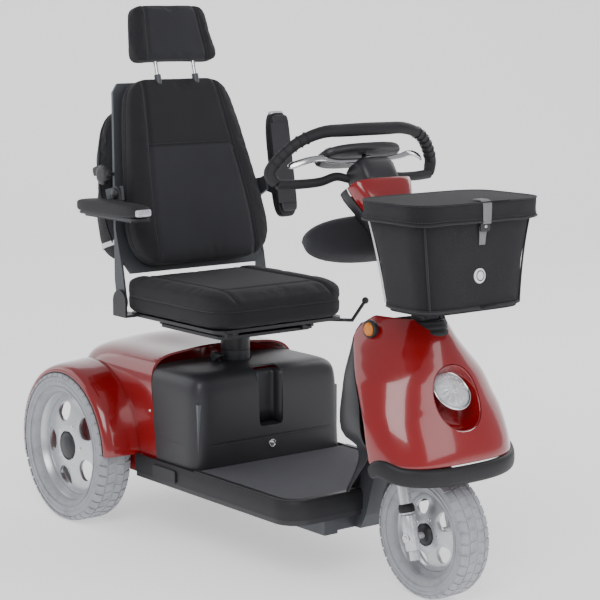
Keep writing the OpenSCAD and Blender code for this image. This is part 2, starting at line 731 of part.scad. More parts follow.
module back_outline(x0, x1, grow) {
    half_low = 210 + grow;
    half_mid = 238 + grow;
    half_top = 176 + grow;
    translate([x0, 0, 0]) rotate([90, 0, 90]) linear_extrude(x1 - x0)
        polygon([[-half_low, back_z0], [half_low, back_z0], [half_mid, back_z0 + 50],
            [half_mid, back_z0 + 110], [half_top, back_z1 - 30], [half_top - 24, back_z1],
            [-half_top + 24, back_z1], [-half_top, back_z1 - 30], [-half_mid, back_z0 + 110],
            [-half_mid, back_z0 + 50]]);
}
bracket_in = 212;
module back_frame() color("dimgray") back_frame_at() {
    difference() {
        union() {
            intersection() {
                back_outline(shell_x, pad_x0 - soft_gap, -6);
                slab([0, -arm_y - arm_t, 0], [100, arm_y + arm_t, back_z1 - 8]);
            }
            both_sides() translate([0, arm_y + arm_t, 0]) rotate([90, 0, 0]) linear_extrude(arm_t)
                difference() {
                    union() {
                        circle(r = 24);
                        polygon([[-20, 0], [22, 0], [pad_x0 - soft_gap, 90], [pad_x0 - soft_gap, 180],
                            [shell_x, 180], [-14, 60]]);
                    }
                    circle(d = pivot_pin_d + 2 * run_fit);
                }
            // what the armrests hang on
            both_sides() translate([0, 236, 0]) rotate([90, 0, 0]) linear_extrude(236 - bracket_in)
                polygon([[shell_x, 236], [pad_x0 - soft_gap, 236], [90, 250], [94, 286],
                    [shell_x, 292]]);
        }
        // room for the cushion between the armrest brackets
        slab([pad_x0 - soft_gap, -228, 0], [200, 228, big]);
    }
    both_sides() translate([armrest_piv.x, 235, armrest_piv.y]) rotate([-90, 0, 0])
        cylinder(h = 8, d = pivot_pin_d);
    // tubes that guide the headrest's posts, welded to the shell by two tabs
    both_sides() {
        difference() {
            translate([head_post_x, post_y, back_z1 - 110]) cylinder(h = 109, d = head_post_d + 6);
            translate([head_post_x, post_y, 0]) cylinder(h = big, d = head_post_d + 2 * run_fit);
        }
        slab([shell_x + 4, post_y - 5, back_z1 - 100], [head_post_x - 8, post_y + 5, back_z1 - 80]);
    }
}

module back_cushion() color("dimgray") back_frame_at() difference() {
    back_outline(pad_x0, pad_x1, -14);
    // pocket for the headrest's guides and their tabs
    both_sides() {
        translate([head_post_x, post_y, back_z1 - 112]) cylinder(h = 200, d = head_post_d + 6.6);
        slab([0, post_y - 5.5, back_z1 - 102], [head_post_x, post_y + 5.5, back_z1 - 78]);
    }
}

head_h = 168;
module headrest_posts() color("black") back_frame_at() both_sides()
    translate([head_post_x, post_y, back_z1 - 100]) cylinder(h = head_z + 60 - back_z1 + 100, d = head_post_d);
module headrest_cushion() color("dimgray") back_frame_at() difference() {
    hull() for (s = [-1, 1]) {
        translate([56, s * 112, head_z + 30]) rotate([0, 90, 0]) cylinder(h = 56, r = 30, $fn = 32);
        translate([60, s * 84, head_z + head_h - 30]) rotate([0, 90, 0]) cylinder(h = 48, r = 30, $fn = 32);
    }
    both_sides() translate([head_post_x, post_y, 0]) cylinder(h = head_z + 60.1, d = head_post_d + 0.02);
}

// an armrest about its pivot: forward and level, on the right (s = -1) or left (s = 1) side
pad_y0 = 243;
pad_w = 68;
module armrest_at(s, raise) back_frame_at() translate([armrest_piv.x, 0, armrest_piv.y])
    rotate([0, recline - raise, 0]) scale_y(s) children();
module scale_y(s) mirror([0, s < 0 ? 1 : 0, 0]) children();
module armrest_pad(s, raise) color("dimgray") armrest_at(s, raise) {
    x1 = armrest_len - 97;
    translate([(x1 - 97) / 2, pad_y0 + pad_w / 2, -48]) linear_extrude(34)
        round_rect([armrest_len, pad_w], 14);
}
module armrest_arm(s, raise) color("black") armrest_at(s, raise) difference() {
    union() {
        translate([0, 241.5, 0]) rotate([90, 0, 0]) linear_extrude(4.5) {
            circle(20);
            polygon([[-20, 0], [20, 0], [40, -58], [-40, -58]]);
        }
        slab([-60, 237, -58], [armrest_len - 130, pad_y0 + pad_w - 16, -48.3]);
    }
    across_y(0, 0) cylinder(h = big, d = pivot_pin_d + 2 * run_fit, center = true);
}

module rear_bag() color("darkslategray") back_frame_at()
    translate([0, 216, 0]) rotate([90, 0, 0]) linear_extrude(432)
        polygon([[shell_x - soft_gap, 96], [shell_x - soft_gap, 520], [-24, 530], [-104, 470], [-140, 380],
            [-168, 230], [-168, 120], [-140, 96]]);

module side_knob() color("black") back_frame_at() translate([25, -231, 330]) rotate([90, 0, 0]) {
    cylinder(h = 16, d = 54);
    translate([0, 0, -23.6]) cylinder(h = 24.6, d = 10);
}

module seat_lever() color("black") {
    bent_rod([[150, 175, plate_z - 5], [205, 224, plate_z - 5], [243, 236, plate_z + 50]], 9);
    translate([243, 236, plate_z + 50]) sphere(d = 18, $fn = 32);
}

at_origin() frame_rails();
at_origin() frame_crossbars();
at_origin() front_frame();
at_origin() floor_pan();
at_origin() floor_mat();
at_origin() side_reflectors();
at_origin() battery_cover();
at_origin() batteries();
at_origin() rear_cover();
at_origin() fenders();
at_origin() rear_bumper();
at_origin() tail_lights();
at_origin() transaxle();
at_origin() drive_motor();
at_origin() post_socket();
at_origin() seat_post();
at_origin() front_fairing();
at_origin() fairing_bumper();
at_origin() leg_shield();
at_origin() headlight_bowl();
at_origin() headlight_lens();
at_origin() front_indicators();
at_origin() rear_tyre(1);  // rear_tyre_left
at_origin() rear_rim(1);  // rear_rim_left
at_origin() rear_tyre(-1);  // rear_tyre_right
at_origin() rear_rim(-1);  // rear_rim_right
at_origin() fork_crown();
at_origin() fork_legs();
at_origin() front_mudguard();
at_origin() tiller_yoke();
at_origin() front_tyre();
at_origin() front_rim();
at_origin() tiller_tube();
at_origin() tiller_shell_front();
at_origin() tiller_shell_rear();
at_origin() tiller_head();
at_origin() console();
at_origin() handlebar_top();
at_origin() handle_grips();
at_origin() handlebar_stays();
at_origin() basket_bracket();
at_origin() basket();
at_origin() basket_lid();
at_origin() tiller_bag();
at_origin() throttle_lever();
at_origin() speed_knob();
at_origin() swivel_hub();
at_origin() seat_base();
at_origin() seat_cushion();
at_origin() back_frame();
at_origin() back_cushion();
at_origin() headrest_posts();
at_origin() headrest_cushion();
at_origin() armrest_pad(-1, 0);  // armrest_pad_right
at_origin() armrest_arm(-1, 0);  // armrest_arm_right
at_origin() armrest_pad(1, left_arm_raise);  // armrest_pad_left
at_origin() armrest_arm(1, left_arm_raise);  // armrest_arm_left
at_origin() rear_bag();
at_origin() seat_lever();
at_origin() side_knob();
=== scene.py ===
import json
import math

import bmesh
import bpy
import numpy as np
from mathutils import Matrix, Vector


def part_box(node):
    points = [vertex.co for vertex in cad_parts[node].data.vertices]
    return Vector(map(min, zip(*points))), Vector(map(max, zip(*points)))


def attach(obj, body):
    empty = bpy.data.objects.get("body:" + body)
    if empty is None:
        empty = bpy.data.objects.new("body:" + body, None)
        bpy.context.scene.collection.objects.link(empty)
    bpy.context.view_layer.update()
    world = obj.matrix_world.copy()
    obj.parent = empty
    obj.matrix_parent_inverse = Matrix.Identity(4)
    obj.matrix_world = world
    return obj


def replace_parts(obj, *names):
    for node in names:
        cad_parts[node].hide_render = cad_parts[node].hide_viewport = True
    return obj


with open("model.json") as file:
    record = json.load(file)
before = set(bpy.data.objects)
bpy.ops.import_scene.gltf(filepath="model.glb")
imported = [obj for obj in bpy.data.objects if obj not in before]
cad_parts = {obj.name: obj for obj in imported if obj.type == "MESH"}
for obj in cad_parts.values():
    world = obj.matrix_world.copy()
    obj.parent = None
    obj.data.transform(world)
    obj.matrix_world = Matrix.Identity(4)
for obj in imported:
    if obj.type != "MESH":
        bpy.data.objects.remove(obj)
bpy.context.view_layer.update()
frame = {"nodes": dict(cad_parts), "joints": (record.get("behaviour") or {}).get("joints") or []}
joints = {joint["name"]: joint for joint in frame["joints"]}
nodes = frame["nodes"]

# ---- places: every drawing size is in millimetres, and these turn it into the shared frame ----


def joint_place(name):
    return Vector(joints[name]["pos_m"])


post_x = joint_place("seat_swivel").x


def tilted(origin, up):
    """The matrix of a part's own drawing frame: millimetres, Z along up, Y to the rider's left."""
    up = Vector(up).normalized()
    side = Vector((0, 1, 0))
    ahead = side.cross(up).normalized()
    turn = Matrix((ahead, side, up)).transposed().to_4x4()
    return Matrix.Translation(origin) @ turn @ Matrix.Scale(0.001, 4)


ON_POST = tilted((post_x, 0, 0), (0, 0, 1))
ON_TILLER = tilted(joint_place("tiller_tilt"), joints["throttle"]["axis"])
ON_FORK = tilted(joint_place("steering"), joints["steering"]["axis"])
ON_BACK = tilted(joint_place("back_recline"), joints["headrest_height"]["axis"])
right_arm = joint_place("armrest_right")
left_arm = joint_place("armrest_left")
front_hub = joint_place("front_wheel_spin")
front_x = (front_hub.x - post_x) * 1000
rear_hubs = {"left": joint_place("rear_wheel_left_spin"), "right": joint_place("rear_wheel_right_spin")}
rear_x = (rear_hubs["left"].x - post_x) * 1000
front_r = (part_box("front_tyre")[1].z - front_hub.z) * 1000
rear_r = rear_hubs["left"].z * 1000

# ---- shader writing ----


class Link:
    """A shader socket that can stand in a Python expression."""

    def __init__(self, finish, socket):
        self.finish = finish
        self.socket = socket

    def sum_of(self, operation, first, second):
        return self.finish.add("ShaderNodeMath", {"operation": operation}, [first, second])

    def __add__(self, other):
        return self.sum_of("ADD", self, other)

    def __radd__(self, other):
        return self.sum_of("ADD", other, self)

    def __sub__(self, other):
        return self.sum_of("SUBTRACT", self, other)

    def __rsub__(self, other):
        return self.sum_of("SUBTRACT", other, self)

    def __mul__(self, other):
        return self.sum_of("MULTIPLY", self, other)

    def __rmul__(self, other):
        return self.sum_of("MULTIPLY", other, self)

    def __truediv__(self, other):
        return self.sum_of("DIVIDE", self, other)

    def __rtruediv__(self, other):
        return self.sum_of("DIVIDE", other, self)

    def __pow__(self, other):
        return self.sum_of("POWER", self, other)

    def __gt__(self, other):
        return self.sum_of("GREATER_THAN", self, other)

    def __lt__(self, other):
        return self.sum_of("LESS_THAN", self, other)


class Finish:
    """One node material, with its Principled shader ready."""

    def __init__(self, name, color, roughness=0.5, metallic=0.0, **constants):
        self.material = bpy.data.materials.new(name)
        self.material.use_nodes = True
        self.material.diffuse_color = (*color, 1)
        self.tree = self.material.node_tree
        self.shader = self.tree.nodes["Principled BSDF"]
        self.color = color
        self.roughness = roughness
        self.fix("Base Color", (*color, 1))
        self.fix("Roughness", roughness)
        self.fix("Metallic", metallic)
        for key, value in constants.items():
            self.fix(key.replace("_", " "), value)
        self.place = self.add("ShaderNodeTexCoord", {}, {}, out="Object")

    def fix(self, socket, value):
        self.shader.inputs[socket].default_value = value

    def add(self, kind, settings, inputs, out=0):
        node = self.tree.nodes.new(kind)
        for key, value in settings.items():
            setattr(node, key, value)
        pairs = inputs.items() if isinstance(inputs, dict) else enumerate(inputs)
        for key, value in pairs:
            if isinstance(value, Link):
                self.tree.links.new(value.socket, node.inputs[key])
            else:
                node.inputs[key].default_value = value
        return Link(self, node.outputs[out])

    def feed(self, socket, value):
        self.tree.links.new(value.socket, self.shader.inputs[socket])

    def noise(self, scale, detail=3.0, roughness=0.55, where=None):
        return self.add("ShaderNodeTexNoise", {}, {"Vector": where or self.place, "Scale": scale,
            "Detail": detail, "Roughness": roughness}, out="Fac")

    def cells(self, scale, out="Distance", where=None):
        return self.add("ShaderNodeTexVoronoi", {}, {"Vector": where or self.place, "Scale": scale}, out=out)

    def stripes(self, scale, direction, distortion=0.0):
        return self.add("ShaderNodeTexWave", {"wave_type": "BANDS", "bands_direction": direction,
            "wave_profile": "SIN"}, {"Vector": self.place, "Scale": scale, "Distortion": distortion,
            "Detail": 0.0}, out="Fac")

    def smooth(self, value, low, high):
        return self.add("ShaderNodeMapRange", {"interpolation_type": "SMOOTHSTEP"},
            {"Value": value, "From Min": low, "From Max": high}, out="Result")

    def blend(self, mask, first, second):
        first = (*first, 1) if isinstance(first, tuple) else first
        second = (*second, 1) if isinstance(second, tuple) else second
        return self.add("ShaderNodeMix", {"data_type": "RGBA"}, {0: mask, 6: first, 7: second}, out=2)

    def tint(self, mask, amount, towards=None):
        """Base colour that changes by mask between the plain colour and a lighter or darker one."""
        other = towards or tuple(min(1, max(0, c * (1 + amount))) for c in self.color)
        self.feed("Base Color", self.blend(mask, self.color, other))

    def rough(self, mask, amount):
        self.feed("Roughness", mask * amount + (self.roughness - amount / 2))

    def relief(self, height, distance, strength=1.0):
        bump = self.add("ShaderNodeBump", {}, {"Height": height, "Distance": distance,
            "Strength": strength}, out="Normal")
        self.feed("Normal", bump)


def painted(name, color, roughness, coat):
    """Sprayed or moulded-in gloss colour, with the faint ripple and dust of the real surface."""
    made = Finish(name, color, roughness, Coat_Weight=coat, Coat_Roughness=0.06)
    made.tint(made.noise(9, 2), -0.16)
    made.rough(made.noise(140, 4), 0.10)
    made.relief(made.noise(18, 1), 0.0004, 0.25)
    return made.material


def moulded(name, color, roughness, grain=900.0, depth=0.00012):
    """Textured moulded plastic: a fine pebble grain, worn a little smoother in patches."""
    made = Finish(name, color, roughness, Specular_IOR_Level=0.45)
    pebble = made.cells(grain)
    worn = made.noise(14, 3)
    made.tint(worn, 0.45)
    made.rough(worn + pebble * 0.4, 0.14)
    made.relief(pebble + made.noise(420, 3) * 0.5, depth, 0.6)
    return made.material


def steel(name, color, roughness, metallic, brushed="Z"):
    made = Finish(name, color, roughness, metallic)
    lines = made.noise(60, 2, where=made.add("ShaderNodeVectorMath", {"operation": "MULTIPLY"},
        {0: made.place, 1: tuple(0.15 if a == brushed else 9.0 for a in "XYZ")}, out="Vector"))
    made.tint(made.noise(24, 3), -0.22)
    made.rough(lines, 0.16)
    made.relief(lines, 0.00004, 0.35)
    return made.material


def woven(name, color, lighter, pitch=1500.0, sheen=0.35, depth=0.00028):
    """Woven cloth: crossing threads, flecked yarn and soft unevenness."""
    made = Finish(name, color, 0.88, Sheen_Weight=sheen, Sheen_Roughness=0.45, Specular_IOR_Level=0.25)
    warp = made.stripes(pitch, "DIAGONAL", 0.6)
    weft = made.add("ShaderNodeTexWave", {"wave_type": "BANDS", "bands_direction": "X"},
        {"Vector": made.add("ShaderNodeVectorRotate", {"rotation_type": "EULER_XYZ"}, {"Vector": made.place,
        "Rotation": (0.6, 2.2, 0.8)}, out=0), "Scale": pitch, "Distortion": 0.6}, out="Fac")
    fleck = made.noise(650, 3, 0.7)
    cloudy = made.noise(7, 2)
    mix = made.smooth(fleck * 0.7 + warp * weft * 0.35 + cloudy * 0.25, 0.35, 0.95)
    made.tint(mix, 0, towards=lighter)
    made.relief(warp * weft + fleck * 0.8, depth, 0.7)
    return made.material


def rubbery(name, color, roughness=0.62):
    made = Finish(name, color, roughness, Specular_IOR_Level=0.35)
    dusty = made.noise(11, 4, 0.65)
    made.tint(made.smooth(dusty, 0.35, 0.75), 0.35)
    made.rough(dusty, 0.18)
    made.relief(made.noise(520, 4), 0.00016, 0.5)
    return made.material


def tyre_rubber():
    """Light grey non-marking rubber, with scuffs and a little dust low in the grooves."""
    made = Finish("tyre rubber", (0.38, 0.39, 0.42), 0.72, Specular_IOR_Level=0.3)
    scuff = made.smooth(made.noise(34, 5, 0.7), 0.42, 0.72)
    made.tint(scuff, 0, towards=(0.31, 0.31, 0.33))
    made.rough(made.noise(60, 3), 0.2)
    made.relief(made.noise(260, 4) + made.cells(700) * 0.3, 0.0002, 0.6)
    return made.material


def ribbed_mat():
    made = Finish("ribbed mat", (0.085, 0.085, 0.095), 0.8, Specular_IOR_Level=0.25)
    ribs = made.smooth(made.stripes(62, "Y"), 0.35, 0.65)
    speck = made.noise(900, 2)
    made.tint(made.noise(16, 3) * 0.6 + speck * 0.4, 0.35)
    made.relief(ribs + speck * 0.15, 0.0011, 0.8)
    return made.material


def lens(name, color, transmission, rough=0.08, ribs=0.0):
    made = Finish(name, color, rough, Transmission_Weight=transmission, IOR=1.49, Coat_Weight=0.4)
    if ribs:
        made.relief(made.stripes(ribs, "Y") + made.stripes(ribs, "Z"), 0.0008, 0.9)
    else:
        made.relief(made.cells(260), 0.0006, 0.7)
    made.rough(made.noise(60, 2), 0.06)
    return made.material


RED = painted("gloss red", (0.27, 0.005, 0.007), 0.20, 0.9)
BLACK = moulded("black moulding", (0.016, 0.016, 0.018), 0.46)
SATIN = moulded("dark satin moulding", (0.022, 0.022, 0.025), 0.36, 1100, 0.00008)
SOFT_BLACK = rubbery("soft black", (0.016, 0.016, 0.018), 0.6)
BUMPER = rubbery("bumper rubber", (0.014, 0.014, 0.016), 0.5)
CLOTH = woven("charcoal cloth", (0.014, 0.014, 0.016), (0.034, 0.034, 0.038), 1500.0, 0.1)
INSERT = woven("insert cloth", (0.020, 0.020, 0.023), (0.048, 0.049, 0.055), 1100, 0.12)
SIDE_CLOTH = woven("pale side cloth", (0.16, 0.165, 0.175), (0.27, 0.275, 0.29), 1300)
CANVAS = woven("basket canvas", (0.012, 0.012, 0.014), (0.030, 0.030, 0.033), 900, 0.1, 0.0005)
BAG = woven("bag nylon", (0.014, 0.014, 0.016), (0.032, 0.033, 0.037), 1200, 0.12)
POUCH = woven("pouch neoprene", (0.020, 0.020, 0.024), (0.040, 0.041, 0.047), 1800, 0.2)
PIPING = woven("seam cord", (0.018, 0.018, 0.020), (0.034, 0.034, 0.038), 2600, 0.2)
WEBBING = woven("grey webbing", (0.19, 0.19, 0.20), (0.32, 0.32, 0.33), 700, 0.2, 0.0005)
BLACK_WEB = woven("black webbing", (0.022, 0.022, 0.024), (0.050, 0.050, 0.054), 700, 0.2, 0.0005)
REFLECT = Finish("reflective tape", (0.82, 0.83, 0.84), 0.35)
REFLECT.relief(REFLECT.cells(900), 0.0002, 0.6)
REFLECT.tint(REFLECT.noise(40, 2), -0.12)
REFLECT = REFLECT.material
THREAD = rubbery("pale thread", (0.07, 0.07, 0.075), 0.8)
TYRE = tyre_rubber()
MAT = ribbed_mat()
ALLOY = steel("satin alloy", (0.66, 0.67, 0.69), 0.34, 0.85, "Y")
CHROME = steel("polished steel", (0.78, 0.78, 0.80), 0.16, 1.0)
FRAME = steel("grey frame paint", (0.08, 0.085, 0.095), 0.42, 0.3)
DARK_FRAME = steel("black frame paint", (0.030, 0.030, 0.033), 0.42, 0.2)
WHITE_STEEL = steel("silver fork paint", (0.74, 0.75, 0.78), 0.28, 0.35)
CAST = steel("cast alloy", (0.40, 0.40, 0.42), 0.55, 0.7)
AMBER = lens("amber lens", (0.95, 0.30, 0.02), 0.15, ribs=150)
RED_LENS = lens("red lens", (0.55, 0.01, 0.01), 0.2, ribs=150)
CLEAR = lens("clear lens", (0.93, 0.95, 0.98), 0.55)
MIRROR = steel("lamp mirror", (0.86, 0.87, 0.90), 0.10, 1.0)
BATTERY = moulded("battery case", (0.10, 0.11, 0.12), 0.5)

# ---- mesh helpers ----


SIDES = ((-1, "right"), (1, "left"))


def linked(name, data):
    """A new object in the scene, at the origin."""
    made = bpy.data.objects.new(name, data)
    bpy.context.scene.collection.objects.link(made)
    return made


def piece(name, verts, faces, finish, body, slot, where=ON_POST, smooth=True):
    """A finished mesh piece. Its points are drawn in the frame given by where."""
    name = name.replace(" ", "_")
    mesh = bpy.data.meshes.new(name)
    mesh.from_pydata([tuple(v) for v in verts], [], faces)
    mesh.transform(where)
    mesh.validate()
    made = linked(name, mesh)
    mesh.materials.append(finish)
    tidy_mesh(made)
    for polygon in mesh.polygons:
        polygon.use_smooth = smooth
    belong(made, body)
    return made


def belong(made, body):
    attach(made, body)


def tidy_mesh(made):
    """Merges doubles and turns every face outwards."""
    work = bmesh.new()
    work.from_mesh(made.data)
    bmesh.ops.remove_doubles(work, verts=work.verts, dist=1e-6)
    bmesh.ops.recalc_face_normals(work, faces=work.faces)
    work.to_mesh(made.data)
    work.free()


def apply_modifiers(made):
    """Turns the modified shape into the piece's own mesh."""
    graph = bpy.context.evaluated_depsgraph_get()
    graph.update()
    shape = bpy.data.meshes.new_from_object(made.evaluated_get(graph), depsgraph=graph)
    made.modifiers.clear()
    old = made.data
    made.data = shape
    bpy.data.meshes.remove(old)
    return made


def modify(made, kind, **settings):
    modifier = made.modifiers.new(kind.lower(), kind)
    for key, value in settings.items():
        setattr(modifier, key, value)
    return modifier


def subdivided(made, levels=2):
    modify(made, "SUBSURF", levels=levels, render_levels=levels)
    return apply_modifiers(made)


def thickened(made, wall, offset=-1.0):
    modify(made, "SOLIDIFY", thickness=wall / 1000, offset=offset)
    return apply_modifiers(made)


def bevelled(made, width, segments=3, angle=35):
    modify(made, "BEVEL", width=width / 1000, segments=segments, limit_method="ANGLE",
        angle_limit=math.radians(angle), harden_normals=False)
    return apply_modifiers(made)


def cut(made, *tools):
    """Takes the tools' shapes out of the piece, and removes the tools."""
    for tool in tools:
        modifier = modify(made, "BOOLEAN", operation="DIFFERENCE", solver="EXACT", object=tool)
        modifier.name = tool.name
    apply_modifiers(made)
    for tool in tools:
        bpy.data.objects.remove(tool)
    for polygon in made.data.polygons:
        polygon.use_smooth = True
    return made


def sharp_shading(made, angle=38):
    """Smooth faces that break at real edges."""
    made.data.shade_smooth()
    made.data.set_sharp_from_angle(angle=math.radians(angle))
    return made


def joined(name, pieces_to_join):
    """Several loose meshes made one piece."""
    first = pieces_to_join[0]
    work = bmesh.new()
    materials = []
    for part in pieces_to_join:
        start = len(work.faces)
        work.from_mesh(part.data)
        work.faces.ensure_lookup_table()
        shift = len(materials)
        materials += list(part.data.materials)
        for face in work.faces[start:]:
            face.material_index += shift
    for part in pieces_to_join[1:]:
        bpy.data.objects.remove(part)
    work.to_mesh(first.data)
    work.free()
    first.data.materials.clear()
    for material in materials:
        first.data.materials.append(material)
    first.name = name.replace(" ", "_")
    return first


def loft(rings, closed=False, cap_first=False, cap_last=False):
    """Points and faces of a skin through rings of equal length."""
    count = len(rings[0])
    verts = [v for ring in rings for v in ring]
    faces = []
    for row in range(len(rings) - 1):
        for i in range(count if closed else count - 1):
            j = (i + 1) % count
            a, b = row * count, (row + 1) * count
            faces.append((a + i, a + j, b + j, b + i))
    if cap_first:
        faces.append(tuple(range(count)))
    if cap_last:
        faces.append(tuple(range(len(verts) - count, len(verts))))
    return verts, faces


def through(points, steps):
    """A smooth line through points, as vectors: steps pieces between each two."""
    points = [Vector(p) for p in points]
    if len(points) < 3:
        return [points[0].lerp(points[-1], i / steps) for i in range(steps + 1)]
    ends = [2 * points[0] - points[1]] + points + [2 * points[-1] - points[-2]]
    line = []
    for i in range(1, len(ends) - 2):
        p0, p1, p2, p3 = ends[i - 1:i + 3]
        for k in range(steps):
            t = k / steps
            line.append(0.5 * (2 * p1 + (p2 - p0) * t + (2 * p0 - 5 * p1 + 4 * p2 - p3) * t * t
                + (3 * p1 - p0 - 3 * p2 + p3) * t ** 3))
    line.append(points[-1])
    return line


def between(rows, value):
    """Reads a smooth table: rows are (place, a, b, ...) and the answer is (a, b, ...) at value."""
    places = [row[0] for row in rows]
    value = min(max(value, places[0]), places[-1])
    index = max(i for i in range(len(rows) - 1) if places[i] <= value)
    t = (value - places[index]) / (places[index + 1] - places[index])
    before, after = rows[max(index - 1, 0)], rows[min(index + 2, len(rows) - 1)]
    low, high = rows[index], rows[index + 1]
    answer = []
    for k in range(1, len(low)):
        p0, p1, p2, p3 = before[k], low[k], high[k], after[k]
        answer.append(0.5 * (2 * p1 + (p2 - p0) * t + (2 * p0 - 5 * p1 + 4 * p2 - p3) * t * t
            + (3 * p1 - p0 - 3 * p2 + p3) * t ** 3))
    return answer


def oval(width, depth, power=2.0, count=32, turn=0.0):
    """A rounded outline in the plane: power 2 is an ellipse, and higher is squarer."""
    outline = []
    for i in range(count):
        a = 2 * math.pi * i / count + turn
        c, s = math.cos(a), math.sin(a)
        outline.append((width / 2 * math.copysign(abs(c) ** (2 / power), c),
            depth / 2 * math.copysign(abs(s) ** (2 / power), s)))
    return outline


def swept(path, outline, up=(0, 0, 1), ends=True, scale=None):
    """An outline carried along a path. Its second axis stays near up."""
    path = [Vector(p) for p in path]
    rings = []
    for i, point in enumerate(path):
        ahead = (path[min(i + 1, len(path) - 1)] - path[max(i - 1, 0)]).normalized()
        guide = Vector(up(i, point) if callable(up) else up)
        across = ahead.cross(guide)
        if across.length < 1e-4:
            across = ahead.cross(Vector((1, 0.01, 0)))
        across.normalize()
        rise = across.cross(ahead)
        k = scale(i / (len(path) - 1)) if scale else 1
        rings.append([point + across * u * k + rise * v * k for u, v in outline])
    return loft(rings, closed=True, cap_first=ends, cap_last=ends)


def tube(name, path, diameter, finish, body, slot, where=ON_POST, sides=14, scale=None, up=(0, 0, 1)):
    verts, faces = swept(path, oval(diameter, diameter, 2, sides), up, scale=scale)
    return sharp_shading(piece(name, verts, faces, finish, body, slot, where), 60)


def strip(name, path, width, thick, finish, body, slot, where=ON_POST, up=(0, 0, 1), scale=None):
    """A flat strap, band or trim: width lies across the path and thick lies along up."""
    verts, faces = swept(path, oval(width, thick, 5, 12), up, scale=scale)
    return piece(name, verts, faces, finish, body, slot, where)


def turned(profile, steps=64, axis="Y", closed=False):
    """Points and faces of a lathe shape: profile is (radius, along) pairs."""
    rings = []
    for i in range(steps):
        a = 2 * math.pi * i / steps
        c, s = math.cos(a), math.sin(a)
        ring = []
        for radius, along in profile:
            ring.append({"X": (along, radius * c, radius * s), "Y": (radius * c, along, radius * s),
                "Z": (radius * c, radius * s, along)}[axis])
        rings.append(ring)
    count = len(profile)
    verts = [v for ring in rings for v in ring]
    faces = []
    for i in range(steps):
        j = (i + 1) % steps
        for k in range(count if closed else count - 1):
            m = (k + 1) % count
            faces.append((i * count + k, i * count + m, j * count + m, j * count + k))
    return verts, faces


def soft_block(low, high, power=8.0, steps=20, shape=None):
    """A crowned block between two corners; shape may move each point (u, v, w from -1 to 1)."""
    low, high = Vector(low), Vector(high)
    middle, half = (low + high) / 2, (high - low) / 2
    work = bmesh.new()
    bmesh.ops.create_cube(work, size=2)
    bmesh.ops.subdivide_edges(work, edges=work.edges, cuts=steps - 1, use_grid_fill=True)
    for vert in work.verts:
        spread = [math.sin(math.pi / 2 * max(-1, min(1, c))) for c in vert.co]
        size = sum(abs(c) ** power for c in spread) ** (1 / power)
        ball = Vector([c / size for c in spread])
        if shape:
            ball = Vector(shape(*ball))
        vert.co = middle + Vector((ball.x * half.x, ball.y * half.y, ball.z * half.z))
    work.verts.ensure_lookup_table()
    verts = [v.co.copy() for v in work.verts]
    faces = [tuple(v.index for v in f.verts) for f in work.faces]
    work.free()
    return verts, faces


def block(name, low, high, finish, body, slot, where=ON_POST, power=8.0, steps=8, shape=None):
    verts, faces = soft_block(low, high, power, steps, shape)
    return piece(name, verts, faces, finish, body, slot, where)


# ---- repeats: trees that set copies of a small part round a ring or along a path ----


def new_tree(name, inputs):
    tree = bpy.data.node_groups.new(name, "GeometryNodeTree")
    for label, kind in inputs:
        tree.interface.new_socket(label, in_out="INPUT", socket_type=kind)
    tree.interface.new_socket("Geometry", in_out="OUTPUT", socket_type="NodeSocketGeometry")
    start = tree.nodes.new("NodeGroupInput")
    end = tree.nodes.new("NodeGroupOutput")
    return tree, start, end


def tree_node(tree, kind, inputs, **settings):
    node = tree.nodes.new(kind)
    for key, value in settings.items():
        setattr(node, key, value)
    for key, value in inputs.items():
        if isinstance(value, bpy.types.NodeSocket):
            tree.links.new(value, node.inputs[key])
        else:
            node.inputs[key].default_value = value
    return node


def finish_tree(tree, start, end, instances):
    real = tree_node(tree, "GeometryNodeRealizeInstances", {"Geometry": instances})
    dressed = tree_node(tree, "GeometryNodeSetMaterial", {"Geometry": real.outputs[0],
        "Material": start.outputs["Finish"]})
    tree.links.new(dressed.outputs[0], end.inputs["Geometry"])


def ring_tree():
    """Copies of a part turned about Y, which already lies at its radius."""
    tree, start, end = new_tree("ring of copies", [("Geometry", "NodeSocketGeometry"),
        ("Part", "NodeSocketObject"), ("Count", "NodeSocketInt"), ("Finish", "NodeSocketMaterial")])
    dots = tree_node(tree, "GeometryNodePoints", {"Count": start.outputs["Count"]})
    index = tree_node(tree, "GeometryNodeInputIndex", {})
    share = tree_node(tree, "ShaderNodeMath", {0: index.outputs[0], 1: start.outputs["Count"]},
        operation="DIVIDE")
    angle = tree_node(tree, "ShaderNodeMath", {0: share.outputs[0], 1: 2 * math.pi}, operation="MULTIPLY")
    turn = tree_node(tree, "ShaderNodeCombineXYZ", {"Y": angle.outputs[0]})
    part = tree_node(tree, "GeometryNodeObjectInfo", {"Object": start.outputs["Part"]})
    copies = tree_node(tree, "GeometryNodeInstanceOnPoints", {"Points": dots.outputs[0],
        "Instance": part.outputs["Geometry"], "Rotation": turn.outputs[0]})
    finish_tree(tree, start, end, copies.outputs[0])
    return tree


